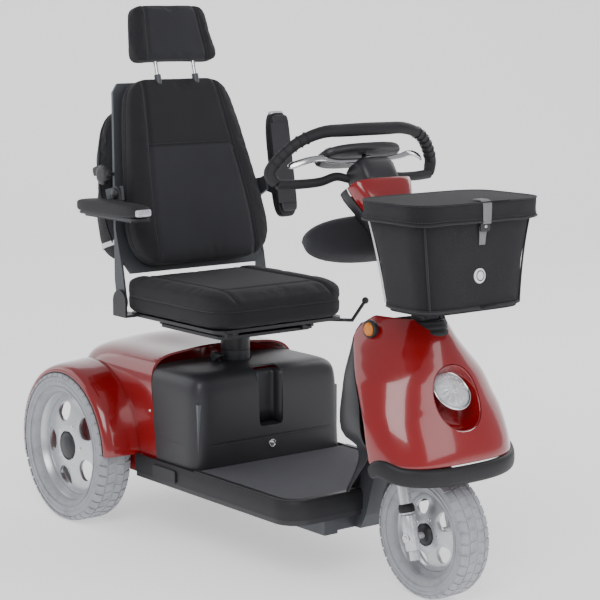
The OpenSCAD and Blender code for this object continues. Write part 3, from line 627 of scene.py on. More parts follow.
def path_tree():
    """Copies of a part at even spacing along a curve, turned with it."""
    tree, start, end = new_tree("copies on a path", [("Geometry", "NodeSocketGeometry"),
        ("Path", "NodeSocketObject"), ("Part", "NodeSocketObject"), ("Spacing", "NodeSocketFloat"),
        ("Finish", "NodeSocketMaterial")])
    path = tree_node(tree, "GeometryNodeObjectInfo", {"Object": start.outputs["Path"]})
    dots = tree_node(tree, "GeometryNodeCurveToPoints", {0: path.outputs["Geometry"],
        "Length": start.outputs["Spacing"]}, mode="LENGTH")
    part = tree_node(tree, "GeometryNodeObjectInfo", {"Object": start.outputs["Part"]})
    copies = tree_node(tree, "GeometryNodeInstanceOnPoints", {"Points": dots.outputs["Points"],
        "Instance": part.outputs["Geometry"], "Rotation": dots.outputs["Rotation"]})
    finish_tree(tree, start, end, copies.outputs[0])
    return tree


RING = ring_tree()
ALONG = path_tree()


def run_tree(name, tree, values, finish, body, where):
    """The tree's result as one plain mesh piece."""
    name = name.replace(" ", "_")
    mesh = bpy.data.meshes.new(name)
    made = linked(name, mesh)
    modifier = made.modifiers.new("copies", "NODES")
    modifier.node_group = tree
    for item in tree.interface.items_tree:
        if item.in_out == "INPUT" and item.name in values:
            modifier[item.identifier] = values[item.name]
        elif item.in_out == "INPUT" and item.name == "Finish":
            modifier[item.identifier] = finish
    apply_modifiers(made)
    made.data.transform(where)
    made.data.materials.clear()
    made.data.materials.append(finish)
    made.data.shade_smooth()
    made.data.set_sharp_from_angle(angle=math.radians(40))
    for name_of in ("Part", "Path"):
        if name_of in values:
            bpy.data.objects.remove(values[name_of])
    belong(made, body)
    return made


def loose(verts, faces, name="loose part"):
    """A mesh that only serves as a pattern or a cutter. It is removed after use."""
    mesh = bpy.data.meshes.new(name)
    mesh.from_pydata([tuple(v) for v in verts], [], faces)
    made = linked(name, mesh)
    tidy_mesh(made)
    return made


def cutter(verts, faces, where=ON_POST, name="cutter"):
    made = loose(verts, faces, name)
    made.data.transform(where)
    return made


def round_ring(name, part, count, finish, body, where):
    return run_tree(name, RING, {"Part": part, "Count": count}, finish, body, where)


def on_path(name, points, part, spacing, finish, body, where):
    """Copies along a line of points, all in the drawing frame given by where."""
    curve = bpy.data.curves.new(name + " path", "CURVE")
    curve.dimensions = "3D"
    spline = curve.splines.new("POLY")
    spline.points.add(len(points) - 1)
    for dot, place in zip(spline.points, points):
        dot.co = (*place, 1)
    path = bpy.data.objects.new(name + " path", curve)
    bpy.context.scene.collection.objects.link(path)
    return run_tree(name, ALONG, {"Part": part, "Path": path, "Spacing": spacing}, finish, body, where)


def stitch():
    """One stitch, lying along the seam."""
    verts, faces = swept([(0, 0, -2.2), (0, 0, -1.2), (0, 0, 1.2), (0, 0, 2.2)], oval(1.1, 1.1, 2, 6),
        up=(1, 0, 0), scale=lambda t: 0.45 if t in (0, 1) else 1)
    return loose(verts, faces, "stitch")


def screw_head(radius=4.0, height=2.4):
    """A low pan head with a six-sided socket, its axis along Z."""
    profile = [(0.45 * radius, 0.2 * height), (0.45 * radius, height), (0.8 * radius, height * 0.92),
        (radius, height * 0.45), (radius, 0)]
    rings = []
    for r, z in profile:
        sides = 12
        rings.append([(r * math.cos(2 * math.pi * k / sides), r * math.sin(2 * math.pi * k / sides),
            z) for k in range(sides)])
    return loft(rings, closed=True, cap_first=True, cap_last=False)


def screws(name, places, finish, body, slot, where=ON_POST, radius=4.0):
    """Screw heads at (place, direction) pairs."""
    parts = []
    verts, faces = screw_head(radius)
    for place, direction in places:
        turn = Vector(direction).to_track_quat("Z", "Y").to_matrix().to_4x4()
        spot = Matrix.Translation(place) @ turn
        parts.append(([spot @ Vector(v) for v in verts], faces))
    all_verts, all_faces = [], []
    for points, sides in parts:
        base = len(all_verts)
        all_verts += points
        all_faces += [tuple(base + k for k in side) for side in sides]
    made = piece(name, all_verts, all_faces, finish, body, slot, where)
    return sharp_shading(made, 30)

# ---- rear body ----

deck_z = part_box("battery_cover")[0].z * 1000
cover_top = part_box("battery_cover")[1].z * 1000
cover_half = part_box("battery_cover")[1].y * 1000
cover_front = (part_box("battery_cover")[1].x - post_x) * 1000
body_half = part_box("rear_cover")[1].y * 1000
body_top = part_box("rear_cover")[1].z * 1000
body_back = (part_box("rear_cover")[0].x - post_x) * 1000
body_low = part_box("rear_cover")[0].z * 1000
SEAM_LOW, SEAM_TOP, SEAM_GAP = -14, -57, 3
POST_HOLE = 84


def seam_tool(side):
    """A wedge that cuts along the leaning seam between the rear body and the battery cover."""
    far = 700 * side
    x_low = SEAM_LOW + side * SEAM_GAP / 2
    x_top = SEAM_TOP + side * SEAM_GAP / 2
    rings = [[(x_low, -500, 60), (far, -500, 60), (far, -500, 700), (x_top - (x_low - x_top) * 1.05, -500,
        700), (x_top, -500, cover_top), (x_low, -500, deck_z)]]
    rings.append([(x, 500, z) for x, _, z in rings[0]])
    verts, faces = loft(rings, True, True, True)
    return cutter(verts, faces)


def post_tool():
    verts, faces = loft([[(x, y, z) for x, y in oval(POST_HOLE, POST_HOLE, 2, 48)] for z in (120, 640)],
        closed=True, cap_first=True, cap_last=True)
    return cutter(verts, faces)


def box_tool(low, high, power=12, steps=10):
    verts, faces = soft_block(low, high, power, steps)
    return cutter(verts, faces)


def rear_shape(u, v, w):
    """Raises the middle of the top, rounds the tail and draws the sides in a little at the back."""
    back = max(0.0, -u)
    hump = 0.055 * math.exp(-((u + 0.1) / 0.5) ** 2) * math.exp(-(v / 0.42) ** 4) if w > 0 else 0.0
    drop = 0.10 * back ** 3 + (0.05 * abs(v) ** 3 if w > 0 else 0)
    lean = 0.035 * max(0.0, w) * back
    return u + lean, v * (1 - 0.10 * back ** 3 * max(0.0, w)), w * (1 - drop) + hump


def make_rear_cover():
    low = (body_back, -body_half, 2 * body_low - body_top + 60)
    high = (70, body_half, body_top)
    verts, faces = soft_block(low, high, 9, 44, rear_shape)
    made = piece("rear body shell", verts, faces, RED, "chassis", "gloss_red")
    inner = soft_block([c + 5 for c in low], [c - 5 for c in high], 9, 30, rear_shape)
    hollow = cutter(*inner)
    floor_cut = box_tool((-900, -400, -500), (300, 400, body_low), 40, 4)
    cut(made, hollow)
    cut(made, floor_cut, seam_tool(1), post_tool())
    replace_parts(made, "rear_cover")
    return sharp_shading(made, 32)


def make_battery_cover():
    def shape(u, v, w):
        flat = 1 - 0.035 * max(0.0, w)
        crown = 0.012 * (1 - v * v) * max(0.0, w)
        return u - 0.03 * max(0.0, w) * max(0.0, u), v * flat, w + crown
    low = (-330, -cover_half, 2 * deck_z - cover_top)
    high = (cover_front, cover_half, cover_top)
    made = piece("battery cover shell", *soft_block(low, high, 13, 40, shape), SATIN, "chassis",
        "dark_plastic")
    hollow = cutter(*soft_block([c + 4 for c in low], [c - 4 for c in high], 13, 26, shape))
    recess = box_tool((112, -38, 297), (300, 38, 640), 14, 12)
    groove = box_tool((cover_front - 4, -300, 264), (cover_front + 40, 300, 273), 6, 10)
    side_groove = [box_tool((-20, s * (cover_half - 3) - 20 + 20 * s, 265),
        (150, s * (cover_half - 3) + 20 + 20 * s, 272), 6, 10) for s in (-1, 1)]
    cut(made, hollow)
    cut(made, box_tool((-900, -400, -500), (300, 400, deck_z), 40, 4), seam_tool(-1), post_tool())
    cut(made, recess, groove, *side_groove)
    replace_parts(made, "battery_cover")
    sharp_shading(made, 32)
    return made


def recess_wall():
    """The moulded channel behind the slot in the battery cover: back wall and two cheeks."""
    profile = [(cover_front - 8, 38.5), (120, 38.5), (112, 34), (110, 20), (110, -20), (112, -34),
        (120, -38.5), (cover_front - 8, -38.5)]
    rings = [[(x - max(0, (z - 420)) * 0.15, y, z) for x, y in profile] for z in (296, 330, 380, 420, 436)]
    made = piece("hand recess channel", *loft(rings), SATIN, "chassis", "dark_plastic")
    thickened(made, 2.5, 0)
    floor = block("hand recess floor", (110, -39, 290), (cover_front - 3, 39, 297.5), SATIN, "chassis",
        "dark_plastic", power=8)
    return joined("hand recess channel", [made, floor])


def lock_barrel(name, place, direction, body, where=ON_POST, radius=11):
    """A round key lock: a chromed ring, a dark face and its key slot."""
    turn = Vector(direction).to_track_quat("Z", "Y").to_matrix().to_4x4()
    spot = where @ Matrix.Translation(place) @ turn
    ring_verts, ring_faces = turned([(radius, -2), (radius, 3), (radius - 1, 4), (radius - 3, 4),
        (radius - 3.5, 3), (radius - 3.5, -2)], 32, "Z", closed=True)
    ring = piece(name + " ring", ring_verts, ring_faces, CHROME, body, "bare_steel", spot)
    face_rings = [[(x, y, z) for x, y in oval(d, d, 2, 24)] for d, z in ((2 * radius - 7, -2),
        (2 * radius - 7, 2), (2 * radius - 9, 2.8))]
    face = piece(name + " face", *loft(face_rings, closed=True, cap_last=True), BLACK, body,
        "black_plastic", spot)
    slot = block(name + " slot", (-1, -radius * 0.45, 2.5), (1, radius * 0.45, 3.4), CAST, body,
        "bare_steel", spot, 6, 4)
    return joined(name, [ring, face, slot])


def fender_profile(lip):
    """(radius, width) of the fender from the body's side out to its lip."""
    gap = 11
    inner = body_half - 4
    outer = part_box("fenders")[1].y * 1000
    line = [(rear_r + gap + 13, inner), (rear_r + gap + 12, inner + 12), (rear_r + gap + 9, inner + 40),
        (rear_r + gap + 6, outer - 22), (rear_r + gap + 1, outer - 6), (rear_r + gap - 5, outer),
        (rear_r + gap - 10 - lip, outer + 0.5)]
    return line


def wheel_arc(side, points, low, high, steps):
    """Rings of (radius, width) points swept about the rear axle, from the front upwards."""
    rings = []
    for i in range(steps + 1):
        share = i / steps
        a = math.radians(low + (high - low) * share)
        rings.append([(rear_x + r * math.cos(a), side * y, rear_r + r * math.sin(a)) for r, y in points])
    return rings


FENDER_FROM, FENDER_TO = 2, 196


def make_fender(name, side):
    rings = wheel_arc(side, fender_profile(3), FENDER_FROM, FENDER_TO, 60)
    made = piece("fender " + name, *loft(rings), RED, "chassis", "gloss_red")
    thickened(made, 3.4, 0)
    bevelled(made, 1.2, 2, 60)
    edge = fender_profile(3)[-1]
    rim = [(edge[0] - 1, edge[1] - 1)]
    path = [ring[0] for ring in wheel_arc(side, rim, FENDER_FROM, FENDER_TO, 60)]
    tube("fender edge strip " + name, path, 7.5, SOFT_BLACK, "chassis", "black_plastic", sides=10,
        scale=lambda t: 1 if 0.01 < t < 0.99 else 0.55)
    return made


make_rear_cover()
make_battery_cover()
recess_wall()
lock_barrel("cover lock", (cover_front - 1.5, 0, 250), (1, 0, 0), "chassis")
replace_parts(make_fender("left", 1), "fenders")
make_fender("right", -1)

screws("rear body screws", [((x, s * (body_half - 0.5), z), (0, s, 0)) for s in (-1, 1) for x,
    z in ((-52, 150), (-52, 330))], CHROME, "chassis", "bare_steel")

# ---- wheels ----


def tyre_profile(radius, width, inner):
    """(radius, along) of a full round-shouldered tyre."""
    half = width / 2
    return [(inner, -half * 0.62), (inner + 5, -half * 0.80), (radius * 0.80, -half * 0.97),
        (radius * 0.90, -half), (radius * 0.965, -half * 0.90), (radius * 0.99, -half * 0.62),
        (radius * 0.992, -half * 0.2), (radius * 0.992, half * 0.2), (radius * 0.99, half * 0.62),
        (radius * 0.965, half * 0.90), (radius * 0.90, half), (radius * 0.80, half * 0.97),
        (inner + 5, half * 0.80), (inner, half * 0.62)]


def make_tyre(name, hub, radius, width, inner, body, node, blocks):
    spot = Matrix.Translation(hub) @ Matrix.Scale(0.001, 4)
    verts, faces = turned(tyre_profile(radius, width, inner), 96, "Y", closed=True)
    made = piece(name, verts, faces, TYRE, body, "grey_tyre", spot)
    subdivided(made, 1)
    lug = tread_lug(radius, width, 2 * math.pi * radius / blocks)
    tread = round_ring(name + " tread", lug, blocks, TYRE, body, spot)
    ribs = []
    for side in (-1, 1):
        for share in (0.80, 0.87):
            ring = [(radius * share * math.cos(a),
                side * (width / 2 * 0.985 - (0.7 if share < 0.85 else 0)), radius * share * math.sin(a))
                for a in [2 * math.pi * i / 96 for i in range(97)]]
            rib_verts, rib_faces = swept(ring, oval(2.6, 2.2, 2, 8), up=(0, 1, 0), ends=False)
            ribs.append(piece(name + " sidewall rib", rib_verts, rib_faces, TYRE, body, "grey_tyre", spot))
    rib = joined(name + " sidewall ribs", ribs)
    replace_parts(made, node)
    return made, tread, rib


def tread_lug(radius, width, pitch):
    """One pitch of the tread: two slanted shoulder blocks and two middle blocks."""
    verts, faces = [], []
    rows = [(-0.97, -0.58, 0.10), (-0.50, -0.06, -0.12), (0.06, 0.50, 0.12), (0.58, 0.97, -0.10)]
    for y0, y1, slant in rows:
        base = len(verts)
        for top in (0, 1):
            for y in (y0, (y0 + y1) / 2, y1):
                shoulder = max(0.0, abs(y) - 0.55)
                reach = radius * (0.965 if not top else 1.0) - 34 * shoulder ** 2.1
                shrink = 0.40 if top else 0.43
                for side in (-1, 1):
                    along = side * shrink * pitch + slant * pitch * (y - (y0 + y1) / 2) * 3 + slant * pitch
                    a = along / radius
                    yy = y * width / 2 * (1.0 if not top else 0.985)
                    verts.append((reach * math.sin(a), yy, reach * math.cos(a)))
        def corner(top, j, side):
            return base + top * 6 + j * 2 + side
        for j in (0, 1):
            faces.append((corner(1, j, 0), corner(1, j + 1, 0), corner(1, j + 1, 1), corner(1, j, 1)))
            for side in (0, 1):
                faces.append((corner(0, j, side), corner(0, j + 1, side), corner(1, j + 1, side),
                    corner(1, j, side)))
        for j in (0, 2):
            faces.append((corner(0, j, 0), corner(0, j, 1), corner(1, j, 1), corner(1, j, 0)))
    return loose(verts, faces, "tread lug")


def make_rim(name, hub, radius, width, windows, body, outer_side, node=None):
    """A cast wheel: deep flanges, a dished disc with oval windows, a hub cap and its bolts."""
    spot = Matrix.Translation(hub) @ Matrix.Scale(0.001, 4)
    half = width / 2
    s = outer_side
    flange = [(radius, -half), (radius + 3.5, -half - 1), (radius + 4.5, -half + 3),
        (radius - 5, -half + 9), (radius - 7, 0), (radius - 5, half - 9), (radius + 4.5, half - 3),
        (radius + 3.5, half + 1), (radius, half), (radius - 3, half - 6), (radius - 12, half - 16),
        (radius - 13, 0), (radius - 12, -half + 16), (radius - 3, -half + 6)]
    barrel = piece(name + " barrel", *turned(flange, 96, "Y", closed=True), ALLOY, body, "silver_rim", spot)
    face = s * half * 0.42
    disc = [(radius - 9, face - s * 10), (radius * 0.84, face - s * 2), (radius * 0.66, face + s * 5),
        (radius * 0.40, face + s * 9), (radius * 0.27, face + s * 14), (radius * 0.27, face - s * 6),
        (radius * 0.42, face - s * 1), (radius * 0.66, face - s * 5), (radius * 0.84, face - s * 12),
        (radius - 9, face - s * 20)]
    web = piece(name + " disc", *turned(disc, 96, "Y", closed=True), ALLOY, body, "silver_rim", spot)
    tools = []
    for i in range(windows):
        a = 2 * math.pi * (i + 0.5) / windows
        tall, wide = radius * 0.34, radius * 0.50
        rings = []
        for y, grow in ((-60, 1.0), (60, 1.0)):
            ring = []
            for u, v in oval(tall * grow, wide * grow, 2.5, 28):
                r = radius * 0.625 + u
                bend = v / (radius * 0.625) * (0.82 + 0.18 * u / tall)
                ring.append((r * math.cos(a + bend), y, r * math.sin(a + bend)))
            rings.append(ring)
        tools.append(cutter(*loft(rings, True, True, True), where=spot))
    cut(web, *tools)
    bevelled(web, 1.6, 2, 40)
    cap = [(0.01, face + s * 22), (radius * 0.14, face + s * 21), (radius * 0.22, face + s * 17),
        (radius * 0.25, face + s * 12), (radius * 0.25, face)]
    hub_cap = piece(name + " hub cap", *turned(cap, 48, "Y"), SATIN, body, "dark_plastic", spot)
    bolts = []
    for i in range(windows):
        a = 2 * math.pi * i / windows
        bolts.append(((radius * 0.36 * math.cos(a), face + s * 9, radius * 0.36 * math.sin(a)), (0, s, 0)))
    bolt_set = screws(name + " bolts", bolts, CHROME, body, "bare_steel", spot, radius * 0.045)
    made = joined(name, [sharp_shading(barrel), sharp_shading(web)])
    if node:
        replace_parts(made, node)
    return made, hub_cap, bolt_set


rear_width = (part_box("rear_tyre_left")[1].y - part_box("rear_tyre_left")[0].y) * 1000
front_width = (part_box("front_tyre")[1].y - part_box("front_tyre")[0].y) * 1000
RIM_SHARE = 0.71
for side_name, side in (("left", 1), ("right", -1)):
    body_name = "rear_wheel_" + side_name
    hub = rear_hubs[side_name]
    make_tyre("rear tyre " + side_name, hub, rear_r, rear_width, rear_r * RIM_SHARE, body_name,
        "rear_tyre_" + side_name, 44)
    make_rim("rear rim " + side_name, hub, rear_r * RIM_SHARE + 4, rear_width * 0.62, 5, body_name, side,
        "rear_rim_" + side_name)
make_tyre("front tyre ribbed", front_hub, front_r, front_width, front_r * 0.66, "front_wheel", "front_tyre",
    36)
make_rim("front rim cast", front_hub, front_r * 0.66 + 4, front_width * 0.62, 5, "front_wheel", -1,
    "front_rim")

# ---- front body ----

fairing_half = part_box("front_fairing")[1].y * 1000
fairing_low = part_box("front_fairing")[0].z * 1000
fairing_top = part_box("front_fairing")[1].z * 1000
LAMP_AT = Vector((front_x + 66, 0, 474))
LAMP_TILT = 64
LAMP_WIDE, LAMP_TALL = 136, 156
# height, then x of the rear edge, half width and x of the nose, from the front axle
FAIRING = [(fairing_low - 6, -4, fairing_half - 1, 126), (fairing_low + 40, -14, fairing_half, 118),
    (fairing_low + 99, -30, fairing_half - 4, 96), (fairing_low + 150, -60, fairing_half - 16, 76),
    (fairing_low + 180, -82, fairing_half - 26, 64), (fairing_low + 225, -124, fairing_half - 56, 44),
    (fairing_low + 262, -158, fairing_half - 84, 28), (fairing_low + 288, -150, fairing_half - 104, 14),
    (fairing_top, -126, 72, 4)]


def fairing_ring(z, draw_in=0.0, count=48):
    edge, half, nose = between(FAIRING, z)
    half -= draw_in
    nose -= draw_in
    slim = 1.95 + 0.5 * max(0, 1 - (z - fairing_low) / 120)
    ring = []
    for i in range(count + 1):
        a = math.pi * (i / count - 0.5)
        c, s = abs(math.cos(a)), math.sin(a)
        x = edge + (nose - edge) * c ** (2 / slim)
        y = half * math.copysign(abs(s) ** (2 / (slim + 0.35)), s)
        ring.append((front_x + x, y, z))
    return ring


def lamp_frame(lift=0.0):
    turn = Matrix.Rotation(math.radians(LAMP_TILT), 4, "Y")
    return ON_POST @ Matrix.Translation(LAMP_AT) @ turn @ Matrix.Translation((0, 0, lift))


def make_fairing():
    levels = [fairing_low - 6 + (fairing_top - fairing_low + 6) * i / 30 for i in range(31)]
    made = piece("front fairing shell", *loft([fairing_ring(z) for z in levels]), RED, "chassis",
        "gloss_red")
    thickened(made, 4.0, -1)
    modify(made, "SUBSURF", levels=1, render_levels=1)
    apply_modifiers(made)
    rings = [[(x, y, z) for x, y in oval(LAMP_TALL, LAMP_WIDE, 2.2, 56)] for z in (-80, 80)]
    opening = cutter(*loft(rings, True, True, True), where=lamp_frame())
    collar = cutter(*loft([[(x, y, z) for x, y in oval(92, 92, 2, 48)] for z in (-160, 60)], closed=True,
        cap_first=True, cap_last=True), where=ON_FORK)
    cut(made, opening)
    cut(made, collar)
    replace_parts(made, "front_fairing")
    return sharp_shading(made, 40)


def surface_x(y, z):
    """x of the fairing's outer face at a height and a distance from the middle."""
    ring = fairing_ring(z, count=96)
    front = [p for p in ring if p[0] > front_x - 60]
    return min(front, key=lambda p: abs(p[1] - y))[0]


def lamp_lip():
    """The rim of the lamp's opening, rolled in: it follows the fairing's face round the oval."""
    place = lamp_frame()
    flat = ON_POST.inverted() @ place
    line = []
    for u, v in oval(LAMP_TALL - 2, LAMP_WIDE - 2, 2.2, 72):
        low, high = -90.0, 90.0
        for _ in range(24):
            middle = (low + high) / 2
            spot = flat @ Vector((u, v, middle))
            inside = spot.x < surface_x(spot.y, spot.z)
            low, high = (middle, high) if inside else (low, middle)
        line.append(Vector((u, v, low)))
    return line


def make_lamp():
    place = lamp_frame()
    lip = lamp_lip()
    smooth_lip = []
    for i, spot in enumerate(lip):
        near = [lip[(i + k) % len(lip)].z for k in (-2, -1, 0, 1, 2)]
        smooth_lip.append(Vector((spot.x, spot.y, sum(near) / 5)))
    rings = []
    for share, sink in ((1.0, 1.5), (0.985, 4), (0.94, 16), (0.86, 30), (0.72, 42), (0.5, 50), (0.25, 53),
            (0.05, 54)):
        depth = min(v.z for v in smooth_lip)
        rings.append([(v.x * share, v.y * share, (v.z - sink) * (1 - max(0, sink - 12) / 42)
            + (depth - sink) * max(0, sink - 12) / 42) for v in smooth_lip])
    bowl = piece("lamp bowl", *loft(rings, closed=True, cap_last=True), RED, "chassis", "gloss_red", place)
    thickened(bowl, 2, 1)
    depth = min(v.z for v in smooth_lip)
    lens_at = place @ Matrix.Translation((-22, -2, depth - 8)) @ Matrix.Rotation(math.radians(-14), 4, "Y")
    dish = [(44, 0), (42, -9), (36, -20), (26, -30), (14, -36), (0.3, -38)]
    mirror = piece("lamp mirror", *turned(dish, 48, "Z"), MIRROR, "chassis", "lamp_bowl", lens_at)
    thickened(mirror, 1.5, 0)
    cover = []
    for radius, z in ((46, -4), (46.5, 0), (44, 4), (36, 9), (24, 13), (12, 15), (2, 15.5)):
        ring = []
        for i in range(36):
            a = 2 * math.pi * i / 36
            facet = 1 if i % 2 or radius > 43 else 0.955
            ring.append((radius * facet * math.cos(a), radius * facet * math.sin(a),
                z + (0 if i % 2 else -0.7)))
        cover.append(ring)
    glass = piece("lamp lens", *loft(cover, closed=True, cap_last=True), CLEAR, "chassis", "clear_lens",
        lens_at, smooth=False)
    ring_verts, ring_faces = turned([(45, -5), (51, -3), (52, 1), (50, 3.5), (46.5, 3), (45.5, -1)], 56,
        "Z", True)
    bezel = piece("lamp bezel", ring_verts, ring_faces, CHROME, "chassis", "lamp_bowl", lens_at)
    bulb = piece("lamp bulb", *soft_block((-6, -6, -32), (6, 6, -12), 2.4, 10), CLEAR, "chassis",
        "clear_lens", lens_at)
    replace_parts(bowl, "headlight_bowl")
    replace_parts(glass, "headlight_lens")
    return bowl, mirror, glass, bezel, bulb


def bumper_path(count=72):
    """The bumper's line: it arches up over the wheel at the sides and sweeps down to the nose."""
    line = []
    for i in range(count + 1):
        a = math.pi * (i / count - 0.5)
        c, s = abs(math.cos(a)), math.sin(a)
        x = front_x - 2 + (fairing_nose + 2) * c ** (2 / 2.5)
        y = (fairing_half - 4) * math.copysign(abs(s) ** (2 / 2.8), s)
        arch = 13 * math.exp(-((c - 0.22) / 0.24) ** 2) - 9 * c ** 3 - 8 * max(0, 0.12 - c) / 0.12
        line.append((x, y, fairing_low - 22 + arch))
    return line


fairing_nose = between(FAIRING, fairing_low)[2] - 2


def make_bumper():
    outline = [(8, -20), (11, -12), (12, 0), (11, 13), (7, 21), (-4, 22), (-9, 18), (-10, 0), (-9, -17),
        (-3, -22)]
    # the first axis points across the path, which is outwards here
    verts, faces = swept(bumper_path(), outline, ends=True, scale=lambda t: 1 - 0.35 * abs(2 * t - 1) ** 14)
    made = piece("front bumper band", verts, faces, BUMPER, "chassis", "black_plastic")
    subdivided(made, 1)
    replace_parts(made, "fairing_bumper")
    return made


def make_shield():
    """The black shield that closes the fairing towards the rider, and its spine down to the deck."""
    rows = []
    table = [(deck_z + 8, -214, 74, -246), (250, -190, 74, -226), (300, -150, 76, -212),
        (340, -110, 100, -214), (380, -52, 168, -218), (420, -40, 186, -212), (470, -52, 180, -204),
        (525, -92, 158, -196), (575, -134, 124, -186), (606, -160, 100, -180), (628, -156, 84, -172)]
    steps = 26
    for i in range(steps + 1):
        z = table[0][0] + (table[-1][0] - table[0][0]) * i / steps
        edge, half, spine = between(table, z)
        ring = []
        for k in range(33):
            a = math.pi * (k / 32 - 0.5)
            c, s = abs(math.cos(a)), math.sin(a)
            ring.append((front_x + edge + (spine - edge) * c ** 0.9, half * math.copysign(abs(s) ** 0.85,
                s), z))
        rows.append(ring)
    made = piece("leg shield panel", *loft(rows), SATIN, "chassis", "black_plastic")
    thickened(made, 3.5, 1)
    bevelled(made, 1.2, 2, 50)
    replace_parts(made, "leg_shield")
    return made


def steering_collar():
    """The round black gaiter where the tiller leaves the fairing."""
    profile = [(47, -44), (50, -38), (49, -28), (44, -24), (47, -18), (42, -12), (44, -6), (38, -2),
        (33, -1), (33, -44)]
    made = piece("steering gaiter", *turned(profile, 56, "Z", closed=True), SOFT_BLACK, "chassis",
        "black_plastic", ON_FORK)
    return subdivided(made, 1)


def make_indicators():
    parts = []
    for s in (-1, 1):
        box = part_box("front_indicators")
        x = ((box[0].x + box[1].x) / 2 - post_x) * 1000
        z = (box[0].z + box[1].z) / 2 * 1000
        y = s * (box[1].y * 1000 - 3)
        dome = [(16.5, -14), (16.5, -2), (15.5, 3), (11, 7), (5, 8.6), (0.3, 9)]
        place = ON_POST @ Matrix.Translation((x, y, z)) @ Matrix.Scale(s, 4, (0, 1, 0))
        parts.append(piece("indicator", *turned(dome, 40, "Y"), AMBER, "chassis", "amber", place))
        seat = [(16.8, -14), (20.5, -12), (21.5, -3), (19.5, 1.5), (17, 1)]
        piece("indicator seat " + ("left" if s > 0 else "right"), *turned(seat, 40, "Y", True), BLACK,
            "chassis", "black_plastic", place)
    made = joined("front indicator domes", parts)
    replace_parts(made, "front_indicators")
    return made


make_fairing()
make_lamp()
make_bumper()
make_shield()
steering_collar()
make_indicators()

# ---- floor, frame and running gear trim ----

deck_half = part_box("floor_pan")[1].y * 1000
pan_front = (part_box("floor_pan")[1].x - post_x) * 1000
pan_back = (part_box("floor_pan")[0].x - post_x) * 1000
pan_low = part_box("floor_pan")[0].z * 1000


def make_sill():
    """The rounded rubber edge round the platform."""
    corner = 60
    outline = []
    for s in (-1, 1):
        turnings = [math.radians(90 * k / 8) for k in range(9)]
        arc = [(pan_front - corner + corner * math.sin(a), s * (deck_half - corner + corner * math.cos(a)))
            for a in turnings]
        outline.append(arc if s < 0 else arc[::-1])
    right, left = outline
    path = [(pan_back + 2, -deck_half)] + [(x, -deck_half) for x in (0, 80, 160, 240, 320)] + right
    path += left + [(x, deck_half) for x in (320, 240, 160, 80, 0)] + [(pan_back + 2, deck_half)]
    line = [(x, y, pan_low + 47) for x, y in path]
    verts, faces = swept(line, [(4, -34), (5.5, -20), (5.5, 6), (2, 12), (-4, 12), (-6, 4), (-6, -34)])
    made = piece("platform sill", verts, faces, BUMPER, "chassis", "black_plastic")
    return sharp_shading(made, 45)


def make_reflectors():
    parts = []
    for s in (-1, 1):
        low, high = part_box("side_reflectors")
        x0, x1 = (low.x - post_x) * 1000, (high.x - post_x) * 1000
        z0, z1 = low.z * 1000, high.z * 1000
        y = s * (deck_half + 7)
        parts.append(piece("reflector", *soft_block((x0 + 2, y - 3, z0 + 1), (x1 - 2, y + 3, z1 - 1), 14,
            10), AMBER, "chassis", "amber"))
        piece("reflector frame " + ("left" if s > 0 else "right"), *soft_block((x0 - 2, y - 4, z0 - 3),
            (x1 + 2, y + 1.2, z1 + 3), 14, 10), BLACK, "chassis", "black_plastic")
    made = joined("side reflector lenses", parts)
    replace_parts(made, "side_reflectors")


make_sill()
make_reflectors()


def fork_trim():
    """Clamp collars, dust seals and axle nuts on the silver fork legs."""
    wheel = Matrix.Translation(front_hub) @ Matrix.Scale(0.001, 4)
    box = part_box("fork_legs")
    leg_y = (box[1].y - front_hub.y) * 1000 - 15
    for s in (-1, 1):
        leg = wheel @ Matrix.Translation((0, s * leg_y, 0)) @ Matrix.Rotation(-math.radians(15.5), 4, "Y")
        seal = [(15.5, 58), (18.5, 60), (18.8, 70), (17, 76), (15.5, 78)]
        name = "left" if s > 0 else "right"
        piece("fork dust seal " + name, *turned(seal, 40, "Z", True), SOFT_BLACK, "fork", "black_plastic",
            leg)
        sleeve = [(15.4, -30), (17.4, -28), (17.4, 50), (15.4, 54)]
        piece("fork slider " + name, *turned(sleeve, 40, "Z", True), WHITE_STEEL, "fork", "white_steel", leg)
        nut = [(0.2, 20), (6, 20), (7, 18.5), (12, 18), (12, 14)]
        nut_verts, nut_faces = turned(nut, 6, "Y")
        turn = Matrix.Scale(s, 4, (0, 1, 0))
        made = piece("axle nut " + name, nut_verts, nut_faces, CHROME, "fork", "bare_steel",
            wheel @ Matrix.Translation((0, s * leg_y, 0)) @ turn)
        sharp_shading(made, 20)


fork_trim()


def make_mudguard():
    outer = front_r + 13
    half = front_width / 2 + 1
    rings = []
    for i in range(33):
        a = math.radians(64 + (158 - 64) * i / 32)
        taper = 1 - 0.25 * (abs(i - 16) / 16) ** 4
        ring = []
        for k in range(15):
            v = k / 7 - 1
            r = outer - 13 * abs(v) ** 3.2
            ring.append((r * math.cos(a), half * v * taper, r * math.sin(a)))
        rings.append(ring)
    spot = Matrix.Translation(front_hub) @ Matrix.Scale(0.001, 4)
    made = piece("front mudguard arch", *loft(rings), SATIN, "fork", "black_plastic", spot)
    thickened(made, 2.4, 0)
    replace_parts(made, "front_mudguard")


make_mudguard()

# ---- tiller ----

tiller_len = 345
HEAD_LOW = 343
lever_z = tiller_len + 61
console_z = (ON_TILLER.inverted() @ joint_place("speed_dial")).z
bar_z = console_z + 49


def tiller_ring(z, rows, front, count=28):
    """Half an outline of the tiller's cover at a height: the front half, or the rear half."""
    deep, wide, power = between(rows, z)
    ring = []
    for i in range(count + 1):
        a = math.pi * (i / count - 0.5)
        c, s = abs(math.cos(a)), math.sin(a)
        x = deep * c ** (2 / power) * (1 if front else -1)
        ring.append((x + (0.6 if front else -0.6), wide * math.copysign(abs(s) ** (2 / power), s), z))
    return ring


